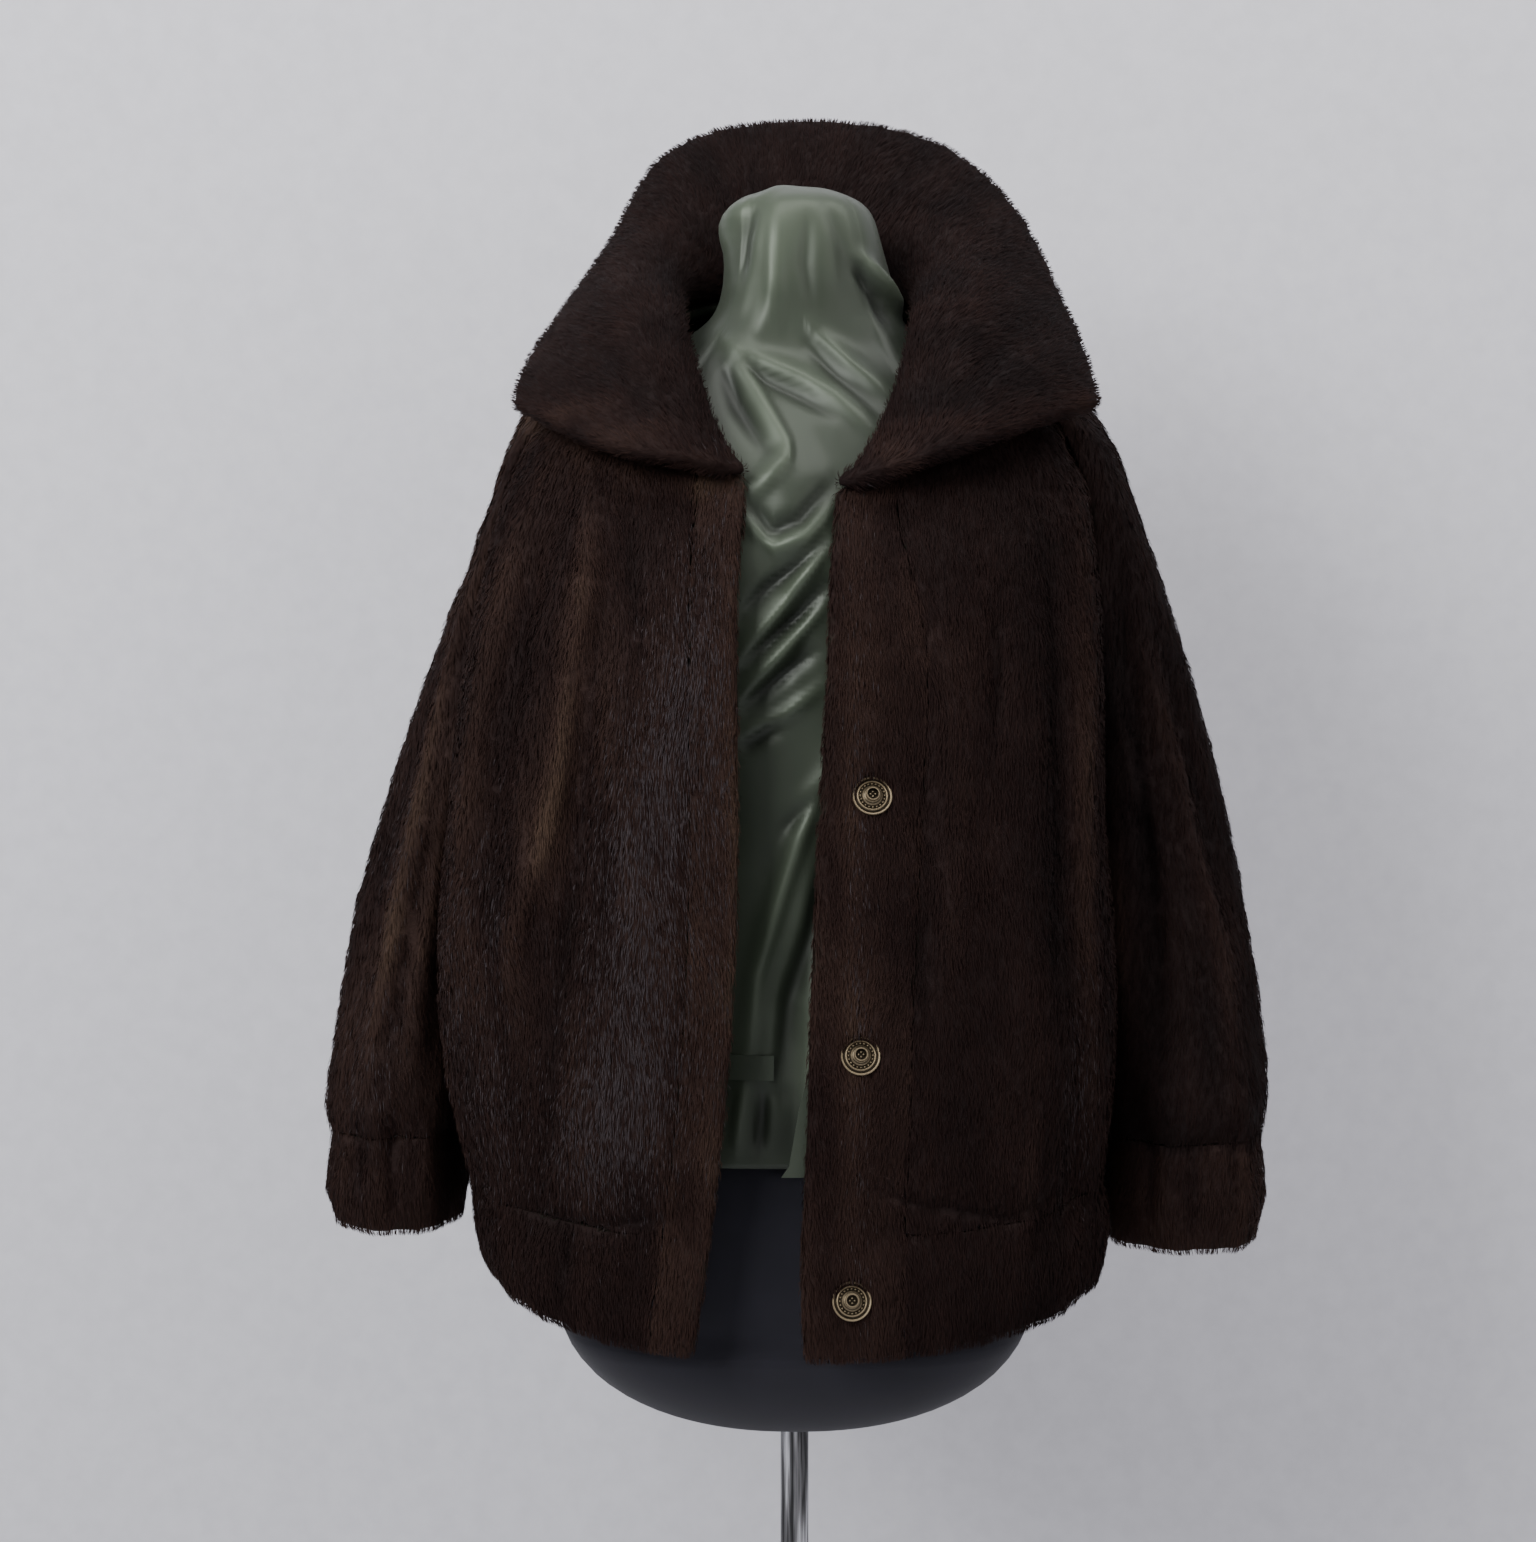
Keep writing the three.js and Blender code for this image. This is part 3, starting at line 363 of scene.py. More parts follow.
def collar_grain(points):
    """Which way the collar's fur points at each place, and how far along the collar that place is."""
    spots = np.concatenate([collar_edge * (1 - t) + collar_roll * t for t in (0, 0.33, 0.66, 1.0)])
    along = np.tile(np.linspace(0, 1, LINE_STEPS), 4)
    outwards = np.tile(unit(collar_edge - collar_roll), (4, 1))
    grain, where = np.empty_like(points), np.empty(len(points))
    for start in range(0, len(points), 4000):
        part = points[start:start + 4000]
        apart = ((part[:, None, :] - spots[None]) ** 2).sum(axis=2)
        nearest = apart.argmin(axis=1)
        grain[start:start + 4000] = outwards[nearest]
        where[start:start + 4000] = along[nearest]
    return grain, where


# %% [markdown]
# ## Which side is the fur side
# A tube of cloth has its fur on the outside and its lining on the inside. The outward way is found from the
# middle of the tube: the body is an oval about an upright axis, while each sleeve's middle is read from the
# sleeve itself, level by level. Both sides of the collar are fur.


# %% Outward direction of a part
def middle_of(points):
    """The middle of a sleeve at each of its points' levels."""
    levels = np.linspace(points[:, 2].min(), points[:, 2].max(), 26)
    near = np.clip(np.searchsorted(levels, points[:, 2]) - 1, 0, 24)
    middles = np.array([
        (points[near == i][:, :2].min(axis=0) + points[near == i][:, :2].max(axis=0)) / 2 for i in range(25)
    ])
    heights = (levels[1:] + levels[:-1]) / 2
    return np.stack([np.interp(points[:, 2], heights, middles[:, i]) for i in (0, 1)], axis=1)


def outward(part, points):
    ways = np.zeros_like(points)
    if part.endswith("arm"):
        ways[:, :2] = points[:, :2] - middle_of(points)
    else:
        ways[:, 0] = points[:, 0] / 0.22 ** 2
        ways[:, 1] = (points[:, 1] + 0.01) / 0.15 ** 2
    return unit(ways)


# %% [markdown]
# ## Tone and painted light over the coat
# Stripes about 55 mm apart are the pelts. Larger soft patches keep them uneven. A few marks are placed where
# the photograph shows them: a painted highlight along a fold ridge on the right front, a dark patch low down
# at the hem seam, and painted rim light, lighter and redder, along the collar's lower edge, the front edges
# and the body's side by the left sleeve. Where the fur catches the window light, only a share of the hairs is
# painted pale, so the painted sheen is made of fine glints.


# %% Tone and painted light of the fur at a place
PELT = 0.055
# The rows noted below are painted light; the other rows make the fur lighter or darker in patches.
TONE_AND_PAINTED_LIGHT_MARKS = [
    # x, z, half width, half height in mm, and how much lighter
    # Painted highlight along a fold ridge on the right front, which the tone ramp also makes browner.
    (-150, 1140, 12, 60, 0.10),
    (-163, 1070, 14, 50, 0.12),
    (-184, 1000, 16, 40, 0.12),
    (-95, 826, 32, 26, -0.14),
    (-60, 930, 10, 90, 0.08),
    # Painted rim light along both front edges.
    (-40, 1050, 7, 260, 0.10),
    (34, 1050, 7, 260, 0.16),
    (110, 1250, 40, 60, -0.06),
    (60, 880, 40, 50, 0.06),
    # Painted rim light along the body's side edge by the left sleeve.
    (190, 1050, 8, 200, 0.14),
    (250, 1080, 22, 120, 0.06),
    # Painted rim light, lighter and redder, along the collar's lower edge.
    (-160, 1340, 50, 13, 0.30),
    (-108, 1320, 40, 15, 0.32),
    (-68, 1300, 20, 13, 0.30),
    (62, 1308, 24, 17, 0.32),
    (120, 1330, 50, 11, 0.26),
    (190, 1346, 28, 10, 0.26),
    (150, 1420, 50, 50, -0.08),
    (0, 1570, 60, 16, 0.08),
]
# Painted sheen: where the window light glances off the fur, a share of the hairs is given the pale low end of
# the tone ramp.
SHEEN_MARKS = [
    # x, z, half width, half height in mm, and the share of the hairs painted pale where they catch the light
    (-70, 1180, 19, 60, 0.68),
    (-84, 1110, 24, 60, 0.76),
    (-102, 1050, 26, 60, 0.68),
    (-104, 950, 31, 70, 0.89),
    (-118, 880, 31, 44, 0.89),
    (-146, 850, 22, 30, 0.41),
    (-204, 880, 17, 60, 0.38),
    (-204, 1010, 12, 60, 0.27),
    (-232, 960, 12, 90, 0.22),
    (-300, 900, 19, 50, 0.24),
    (-280, 1040, 12, 60, 0.24),
    (-52, 1100, 8, 220, 0.27),
    (40, 1000, 7, 220, 0.22),
    (192, 900, 10, 60, 0.30),
]


def marks_at(points, marks):
    """The sum of soft round marks over the front, each given by its middle, half sizes and strength."""
    total = np.zeros(len(points))
    for x, z, half_width, half_height, strength in marks:
        apart = ((points[:, 0] - x * MM) / (half_width * MM)) ** 2
        apart += ((points[:, 2] - z * MM) / (half_height * MM)) ** 2
        total += strength * np.exp(-apart) * (points[:, 1] < 0.03)
    return total


def fur_tone(part, points, base, along):
    arm = part.endswith("arm")
    if part == "collar":
        stripe = along * collar_length
    else:
        apart = points[:, :2] - (middle_of(points) if arm else np.array([[0, -0.01]]))
        stripe = np.arctan2(apart[:, 0], -apart[:, 1]) * (0.09 if arm else 0.2)
    stripe = stripe + 0.008 * ripple(points, 0.16, 11)
    tone = base + 0.05 * np.cos(2 * math.pi * stripe / PELT) + 0.05 * ripple(points, 0.13, 12)
    tone += 0.035 * ripple(points * (1, 1, 0.3), 0.03, 13)
    # The marks add painted highlight, painted rim light and the dark patch to the fur's own tone.
    return tone + marks_at(points, TONE_AND_PAINTED_LIGHT_MARKS)


# %% [markdown]
# ## Creases
# The coat's large rolls are in the solids. The softer ones are listed one by one, each along its own line,
# with its own width on either side, so that one flank is steep and the other gentle, as in cloth that hangs.

# %% Creases in the fur, in millimetres as seen from the front
FUR_CREASES = [
    # part, line, half width to its left and to its right, height
    ("body", [(-185, 1267), (-203, 1197), (-214, 1127), (-223, 1056), (-230, 975), (-226, 913)], 9, 10, 6.2),
    ("body", [(-170, 1290), (-180, 1220), (-190, 1150), (-200, 1080), (-204, 1004), (-201, 938), (-190, 870)],
     7.2, 9.6, -5.0),
    ("body", [(-140, 1225), (-149, 1151), (-157, 1099), (-171, 1043), (-185, 1006), (-192, 965)], 10, 7, 7.0),
    ("body", [(-129, 1216), (-136, 1151), (-143, 1081), (-152, 1006), (-160, 940), (-165, 869), (-172, 821)],
     4.8, 8, -5.0),
    ("body", [(-119, 1174), (-115, 1081), (-106, 1006), (-108, 930)], 10, 14, 4.6),
    ("body", [(-137, 1300), (-137, 1239), (-140, 1211)], 7, 7, 5.4),
    ("body", [(-112, 1290), (-108, 1230), (-100, 1170)], 5.6, 5.6, -4.1),
    ("body", [(-72, 1290), (-64, 1239), (-66, 1180)], 5.6, 5.6, -4.1),
    ("body", [(-196, 813), (-172, 809), (-130, 806), (-84, 812)], 4.8, 4, -5.0),
    ("body", [(-120, 880), (-118, 820), (-122, 760)], 7, 9, 3.1),
    ("body", [(-150, 800), (-156, 775), (-160, 740)], 4.8, 4.8, -4.1),
    ("body", [(-90, 870), (-86, 830), (-90, 790)], 7, 7, 3.1),
    ("body", [(96, 1290), (106, 1220), (108, 1100), (104, 960)], 14, 18, 4.6),
    ("body", [(130, 1212), (131, 1170), (130, 1126)], 3.2, 4.8, -4.9),
    ("body", [(166, 1290), (172, 1180), (176, 1060), (170, 940)], 8, 6.4, -5.0),
    ("body", [(192, 1305), (196, 1173), (190, 1097), (194, 1031), (198, 959), (200, 887)], 8, 8, 4.6),
    ("body", [(49, 834), (77, 822), (143, 808), (170, 826)], 4, 4.8, -4.1),
    ("body", [(188, 900), (184, 850), (178, 790)], 5.6, 5.6, -4.9),
    ("body", [(160, 880), (156, 830), (150, 780)], 6, 6, 3.1),
    ("body", [(80, 1180), (84, 1050), (82, 920)], 11.2, 9.6, -3.2),
    ("right_arm", [(-206, 1271), (-234, 1207), (-255, 1112), (-273, 1021), (-289, 945), (-306, 870)],
     10, 7, 7.0),
    ("right_arm", [(-226, 1241), (-247, 1182), (-272, 1112), (-296, 1046), (-311, 970), (-320, 905)],
     6.4, 7.2, -5.0),
    ("right_arm", [(-233, 1180), (-252, 1090), (-268, 1010), (-282, 930), (-292, 880)], 5.6, 7.2, -5.0),
    ("right_arm", [(-240, 1120), (-256, 1030), (-266, 950), (-270, 890)], 8, 8, 6.2),
    ("right_arm", [(-309, 852), (-308, 794)], 4, 4, -4.1),
    ("right_arm", [(-283, 857), (-283, 789)], 4.8, 4, -4.9),
    ("right_arm", [(-262, 850), (-262, 792)], 5, 5, 3.1),
    ("left_arm", [(235, 1217), (269, 1092), (300, 970), (312, 869)], 8, 10, 7.0),
    ("left_arm", [(214, 1262), (223, 1222), (244, 1092), (255, 970), (258, 884)], 7.2, 6.4, -5.0),
    ("left_arm", [(253, 1217), (285, 1092), (314, 970)], 6.4, 5.6, -5.0),
    ("left_arm", [(222, 1110), (230, 1010), (236, 900)], 8, 8, 5.4),
    ("left_arm", [(250, 845), (250, 769)], 4, 4.8, -5.0),
    ("left_arm", [(280, 845), (282, 769)], 4.8, 4, -4.9),
    ("left_arm", [(312, 845), (313, 780)], 4, 4, -4.1),
    ("collar", [(-120, 1500), (-118, 1440), (-104, 1380)], 14, 16, 2.3),
    ("collar", [(-150, 1400), (-112, 1370), (-96, 1330)], 8, 9.6, -2.4),
    ("collar", [(130, 1480), (124, 1420), (100, 1370)], 14, 16, 2.3),
    ("collar", [(160, 1400), (126, 1372), (96, 1340)], 9.6, 8, -2.4),
]


def crease_height(x, z, line, left, right, height):
    """How far one soft crease lifts each place, with its own width on either side of its line."""
    line = np.array(line, float) * MM
    lengths = np.linalg.norm(np.diff(line, axis=0), axis=1)
    starts = np.concatenate([[0], np.cumsum(lengths)])
    best, side, travelled = np.full(len(x), 1e9), np.zeros(len(x)), np.zeros(len(x))
    spots = np.stack([x, z], axis=1)
    for start, end, length, before in zip(line[:-1], line[1:], lengths, starts):
        way = (end - start) / length
        t = np.clip((spots - start) @ way, 0, length)
        apart = spots - (start + t[:, None] * way)
        distance = np.linalg.norm(apart, axis=1)
        closer = distance < best
        best[closer] = distance[closer]
        side[closer] = (apart[:, 0] * way[1] - apart[:, 1] * way[0])[closer]
        travelled[closer] = (before + t)[closer]
    width = np.where(side > 0, left, right) * MM
    fade = np.sin(math.pi * np.clip(travelled / starts[-1], 0.03, 0.97)) ** 0.5
    return height * MM * fade * np.exp(-((best / width) ** 2))


# %% [markdown]
# ## Skins and hides
# Pieces that are sewn edge to edge show no groove at their seam, because the pile covers it. So each part
# of the coat is first made as one joined skin, with an even mesh by the Remesh modifier, and smoothed,
# which rounds the rims as thick pile does. The skin is where the hairs stand. Each piece's own hide is then
# drawn out to the skin and lowered under it, and only the hide and its hairs are kept.

# %% Even meshes
HIDE_GRID = 0.0045


def even_copy(name, sources, rounds):
    """One object from copies of solids, welded, wrapped in an even mesh and smoothed."""
    bpy.ops.object.select_all(action="DESELECT")
    for source in sources:
        piece = bpy.data.objects.new(name, solids[source].data.copy())
        bpy.context.collection.objects.link(piece)
        piece.select_set(True)
        bpy.context.view_layer.objects.active = piece
    if len(sources) > 1:
        bpy.ops.object.join()
    bpy.ops.object.mode_set(mode="EDIT")
    bpy.ops.mesh.select_all(action="SELECT")
    bpy.ops.mesh.remove_doubles(threshold=1e-5)
    bpy.ops.object.mode_set(mode="OBJECT")
    piece = bpy.context.view_layer.objects.active
    remesh = piece.modifiers.new("even mesh", "REMESH")
    remesh.mode = "VOXEL"
    remesh.voxel_size = HIDE_GRID
    smooth = piece.modifiers.new("soft rims", "SMOOTH")
    smooth.factor = 0.5
    smooth.iterations = rounds
    apply_modifiers(piece)
    return piece


def triangles_of(mesh):
    mesh.calc_loop_triangles()
    corners = np.empty(3 * len(mesh.loop_triangles), np.int32)
    mesh.loop_triangles.foreach_get("vertices", corners)
    return corners.reshape(-1, 3)


# %% The skin of one part
HIDE_LOWERED = 0.0005
RIM_SLACK = 0.0002
# Painted shade and painted highlight from the creases: tone falls in crease valleys and rises on crease
# ridges, by this much for each metre of lift.
PAINTED_CREASE_SHADE_BY_HEIGHT = 36
SEAM_REACH = 0.006
SEAM_DEPTH = 0.003


def tree_of(names):
    """One search tree over these solids."""
    corners, before, offset = [], [], 0
    for name in names:
        corners.append(triangles_of(solids[name].data) + offset)
        before.append(read_points(solids[name].data))
        offset += len(before[-1])
    return BVHTree.FromPolygons(np.concatenate(before).tolist(), np.concatenate(corners).tolist())


def owners_of(points, names):
    """Which of these solids each point is nearest to, by number."""
    owner = np.repeat(np.arange(len(names)), [len(triangles_of(solids[name].data)) for name in names])
    tree = tree_of(names)
    return owner[[tree.find_nearest(point)[2] for point in points.tolist()]]


def crease_lift(part, points):
    """How far the creases lift or lower each place of a part's front."""
    lift = np.zeros(len(points))
    for where, line, left, right, height in FUR_CREASES:
        if where == part:
            lift += crease_height(points[:, 0], points[:, 2], line, left, right, height)
    return lift * blend(0.06, 0.03, points[:, 1])


def sewn_on(points):
    """Draws the collar's neck edge, at the back, into the neckline that it is sewn to."""
    body = tree_of(["back", "front_right", "front_left"])
    near = (points[:, 1] > -0.01) & (np.abs(points[:, 0]) < 0.14)
    for i in np.flatnonzero(near):
        spot, _, _, apart = body.find_nearest(points[i].tolist())
        if apart < SEAM_REACH:
            spot = np.array(spot)
            points[i] = spot + unit(spot - points[i]) * SEAM_DEPTH


def keep_reach(piece, sources):
    """Draws rims that smoothing has pulled in back towards the solids' own surface."""
    tree = tree_of(sources)
    points = read_points(piece.data)
    for i, point in enumerate(points.tolist()):
        spot, _, _, apart = tree.find_nearest(point)
        if apart > RIM_SLACK:
            points[i] += (np.array(spot) - points[i]) * (1 - RIM_SLACK / apart)
    write_points(piece.data, points)


def sag(part, points):
    """The collar's right front edge hangs a little lower than its solid."""
    if part == "collar":
        apart = ((points[:, 0] + 0.128) / 0.050) ** 2 + ((points[:, 2] - 1.325) / 0.035) ** 2
        points[:, 2] -= 0.008 * np.exp(-apart) * (points[:, 1] < 0)
    return points


class Skin:
    """The surface that one part's hairs stand on, with the values that hairs and hides read from it."""

    def __init__(self, part, names):
        self.part, self.names = part, names
        even = even_copy(part + "_skin", names, 6)
        keep_reach(even, names)
        mesh = even.data
        write_points(mesh, sag(part, read_points(mesh)))
        self.plain, normals = read_points(mesh), read_points(mesh, "normal")
        self.corners = triangles_of(mesh)
        self.tree = BVHTree.FromPolygons(self.plain.tolist(), self.corners.tolist())
        self.owner = owners_of(self.plain, names)
        facing = (normals * outward(part, self.plain)).sum(axis=1)
        self.fur = np.ones(len(self.plain)) if part == "collar" else blend(-0.35, 0.15, facing)
        creases = crease_lift(part, self.plain)
        unevenness = 0.0003 * ripple(self.plain, 0.05, 21) + 0.0003 * ripple(self.plain, 0.02, 22)
        self.moved = normals * ((creases + unevenness - HIDE_LOWERED) * self.fur)[:, None]
        write_points(mesh, self.plain + self.moved)
        self.points, self.normals = read_points(mesh), read_points(mesh, "normal")
        self.reach = BVHTree.FromPolygons(self.points.tolist(), self.corners.tolist())
        down = np.tile([0.0, 0.0, -1.0], (len(self.plain), 1))
        self.grain, along = collar_grain(self.plain) if part == "collar" else (down, None)
        base = np.array([FUR_PIECES[name][5] for name in names])[self.owner]
        # The tone gets painted shade in crease valleys and painted highlight on crease ridges.
        self.tone = fur_tone(part, self.plain, base, along) + PAINTED_CREASE_SHADE_BY_HEIGHT * creases
        bpy.data.objects.remove(even)


# %% The hide of one piece
RIM_REACH = 0.0065
HIDE_FACES = 0.2


def make_hide(name, skin):
    """The piece's own closed hide, whose fur side lies on the part's skin."""
    hide = even_copy(name + "_hide", [name], 3)
    keep_reach(hide, [name])
    points = sag(skin.part, read_points(hide.data))
    tone, inside = np.zeros(len(points)), np.ones(len(points))
    for i, point in enumerate(points.tolist()):
        spot, _, triangle, apart = skin.tree.find_nearest(point)
        corners = skin.corners[triangle]
        fur = skin.fur[corners].mean()
        if apart < RIM_REACH:
            points[i] = np.array(spot) * fur + np.array(point) * (1 - fur) + skin.moved[corners].mean(axis=0)
            inside[i] = 1 - fur
        else:
            inside[i] = 0
        tone[i] = max(0.22, skin.tone[corners].mean())
    if name == "collar":
        sewn_on(points)
    write_points(hide.data, points)
    store(hide.data, "tone", tone)
    store(hide.data, "inside", inside)
    thin = hide.modifiers.new("fewer faces", "DECIMATE")
    thin.ratio = HIDE_FACES
    apply_modifiers(hide)
    bpy.ops.object.shade_smooth()
    return hide


# %% [markdown]
# ## Growing the fur
# Real guard hairs are widest in their outer half. Here each is one bent diamond of two triangles. It rises
# from the hide, then lies over along the grain. Small random leans gather the tips in tufts. Each hair is
# shaded partly as the hide under it, so that the pile reads as one soft nap, and partly by the way it is
# turned about its own length, which gives fur its broken, silky shine.

# %% Grow the hairs of one piece
HAIR_WIDTH = 0.00062
FUZZ_REACH = 0.0046
UPRIGHT_SHARE = 0.18


def grow_fur(name, skin, seed):
    count, length = FUR_PIECES[name][3], FUR_PIECES[name][4] * MM
    dice = np.random.default_rng(seed)
    corners = skin.corners[skin.owner[skin.corners[:, 0]] == skin.names.index(name)]
    a, b, c = (skin.points[corners[:, i]] for i in range(3))
    share = np.linalg.norm(np.cross(b - a, c - a), axis=1) * skin.fur[corners].mean(axis=1) ** 2
    picked = corners[dice.choice(len(corners), count, p=share / share.sum())]
    u, v = np.sqrt(dice.random(count)), dice.random(count)
    weights = np.stack([1 - u, u * (1 - v), u * v], axis=1)[..., None]
    root = (skin.points[picked] * weights).sum(axis=1)
    normal = unit((skin.normals[picked] * weights).sum(axis=1))
    way = (skin.grain[picked] * weights).sum(axis=1)
    hair_tone = (skin.tone[picked] * weights[..., 0]).sum(axis=1) + dice.normal(0, 0.03, count)
    hair_tone = np.clip(hair_tone, 0.22, 1)
    # Painted sheen: within the sheen marks a share of the hairs gets a pale tone, as glints of the window
    # light.
    sheen = marks_at(root, SHEEN_MARKS) * (0.8 + 0.35 * ripple(root, 0.007, 38))
    painted_glint = dice.random(count) < sheen * (normal[:, 1] < 0)
    hair_tone = np.where(painted_glint, dice.uniform(0.0, 0.14, count), hair_tone)
    # The grain wanders, leans in tufts, and lies along the hide.
    wander = np.stack([ripple(root, 0.09, seed) for seed in (31, 32, 33)], axis=1)
    tuft = np.stack([ripple(root, 0.010, seed) for seed in (34, 35, 36)], axis=1)
    way = unit(way + 0.12 * wander + 0.05 * tuft + dice.normal(0, 0.05, (count, 3)))
    way = way - normal * (way * normal).sum(axis=1, keepdims=True) * 0.92
    # About one hair in six stands up, which makes the fuzz on the coat's outline.
    upright = dice.random(count) < UPRIGHT_SHARE
    length = length * np.where(upright, 0.55, 0.85 + 0.25 * dice.random(count))
    stand = 0.12 + 0.03 * dice.normal(size=count) + 0.02 * ripple(root, 0.03, 37) + 0.5 * upright
    rise = unit(way + normal * (stand * 1.9)[:, None])
    lie = unit(way + normal * (stand * 0.5)[:, None])
    tip = root + (rise + lie) * (length * 0.5)[:, None]
    beyond = np.array([skin.reach.find_nearest(spot)[3] for spot in tip.tolist()])
    length *= np.clip(FUZZ_REACH * (1 + 0.5 * upright) / np.maximum(beyond, 1e-6), 0.3, 1)
    middle = root + rise * (length * 0.5)[:, None]
    tip = middle + lie * (length * 0.5)[:, None]
    side = unit(np.cross(rise, normal))
    roll = dice.uniform(-0.9, 0.9, count)[:, None]
    across = side * np.cos(roll) + unit(np.cross(side, rise)) * np.sin(roll)
    facing = unit(np.cross(rise, across))
    turned = np.sign((facing * normal).sum(axis=1, keepdims=True))
    facing *= turned
    width = np.where(upright | (hair_tone < 0.2), 0.34, dice.uniform(0.35, 0.65, count))
    across = across * turned * (HAIR_WIDTH * width)[:, None]
    hairs = np.stack([root - normal * 0.0004, middle - across, middle + across, tip], axis=1)
    first = np.arange(count)[:, None] * 4
    faces = np.concatenate([first + (0, 1, 2), first + (1, 3, 2)], axis=1).reshape(-1, 3)
    coat = object_from(name + "_fur", hairs.reshape(-1, 3), faces)
    mesh = coat.data
    mesh.polygons.foreach_set("use_smooth", np.ones(len(faces), bool))
    shading = np.repeat(unit(normal * 0.8 + facing * 0.3), 4, axis=0)
    mesh.normals_split_custom_set_from_vertices(shading.astype(np.float32).tolist())
    hair_tone = np.repeat(np.clip(hair_tone, 0, 1), 4)
    tips = np.tile([0.0, 0.55, 0.55, 1.0], count)
    store(mesh, "tone", hair_tone)
    store(mesh, "tip", tips)
    layer = mesh.uv_layers.new(name="OFBake")
    spread = np.tile([0.0, -0.003, 0.003, 0.0], count)
    spots = np.stack([0.01 + 0.98 * np.clip(hair_tone + spread, 0, 1), 0.02 + 0.96 * tips], axis=1)
    layer.data.foreach_set("uv", spots[faces.ravel()].astype(np.float32).ravel())
    return coat


# %% Make every fur piece
for part, names in FUR_PARTS.items():
    skin = Skin(part, names)
    print(part, "skin", len(skin.points), "points")
    for name in names:
        hide = hide_finish.put_on(make_hide(name, skin))
        coat = hair_finish.put_on(grow_fur(name, skin, seed=100 + list(FUR_PIECES).index(name)))
        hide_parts(name)
        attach(hide, "root")
        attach(coat, "root")

# %% [markdown]
# ## Skins drawn round a solid
# The satin and the form are tubes that close at the top. Rays sent inwards from all round find the solid's
# surface, on columns that stand close together in front, where the camera looks. Each ring is then
# softened, so no facet of the solid is left.


# %% A skin of rays round a solid
def skin_of(name, levels, crown, crown_steps, columns, softness, bottom=None):
    """Rings of points round a solid from below to above, as an array of rows by columns."""
    mesh = solids[name].data
    mesh.calc_loop_triangles()
    triangles = [tuple(t.vertices) for t in mesh.loop_triangles]
    tree = BVHTree.FromPolygons([v.co for v in mesh.vertices], triangles)
    far = 0.4
    rows = []
    for elevation in bottom or []:
        rows.append((Vector((0, -0.01, levels[0])), -math.radians(elevation)))
    rows += [(Vector((0, -0.001, z)), 0.0) for z in levels]
    for step in range(1, crown_steps):
        rows.append((Vector((0, -0.001, crown)), math.radians(89 * step / (crown_steps - 1))))
    reach = np.empty((len(rows), len(columns)))
    ways = np.empty((len(rows), len(columns), 3))
    middles = np.array([tuple(middle) for middle, _ in rows])
    for r, (middle, rise) in enumerate(rows):
        for c, turn in enumerate(columns):
            way = Vector((-math.sin(turn) * math.cos(rise), -math.cos(turn) * math.cos(rise), math.sin(rise)))
            hit = tree.ray_cast(middle + way * far, -way, far)
            reach[r, c] = (hit[0] - middle).length if hit[0] else np.nan
            ways[r, c] = way
    for r in range(len(rows)):
        gone = np.isnan(reach[r])
        reach[r, gone] = np.nanmean(reach[r]) if not gone.all() else 0.02
    for _ in range(softness):
        reach = (np.roll(reach, 1, axis=1) + reach * 2 + np.roll(reach, -1, axis=1)) / 4
        padded = np.concatenate([reach[:1], reach, reach[-1:]])
        reach = (padded[:-2] + padded[1:-1] * 2 + padded[2:]) / 4
    return middles[:, None, :] + ways * reach[..., None]


def tube_faces(rows, columns):
    """Quads of a tube whose columns meet again."""
    r, c = np.meshgrid(np.arange(rows - 1), np.arange(columns), indexing="ij")
    after = (c + 1) % columns
    below = (r + 1) * columns
    quads = np.stack([r * columns + c, below + c, below + after, r * columns + after], -1)
    return quads.reshape(-1, 4)


def close_end(piece, top):
    """Fills a tube's open end with a fan to its middle point."""
    mesh = bmesh.new()
    mesh.from_mesh(piece.data)
    rim = [edge for edge in mesh.edges if edge.is_boundary]
    height = sum(edge.verts[0].co.z for edge in rim) / len(rim)
    rim = [edge for edge in rim if (edge.verts[0].co.z > height) == top]
    middle = sum((edge.verts[0].co for edge in rim), Vector()) / len(rim)
    middle = mesh.verts.new(middle)
    for edge in rim:
        mesh.faces.new((edge.verts[0], edge.verts[1], middle))
    bmesh.ops.recalc_face_normals(mesh, faces=mesh.faces)
    mesh.to_mesh(piece.data)
    mesh.free()
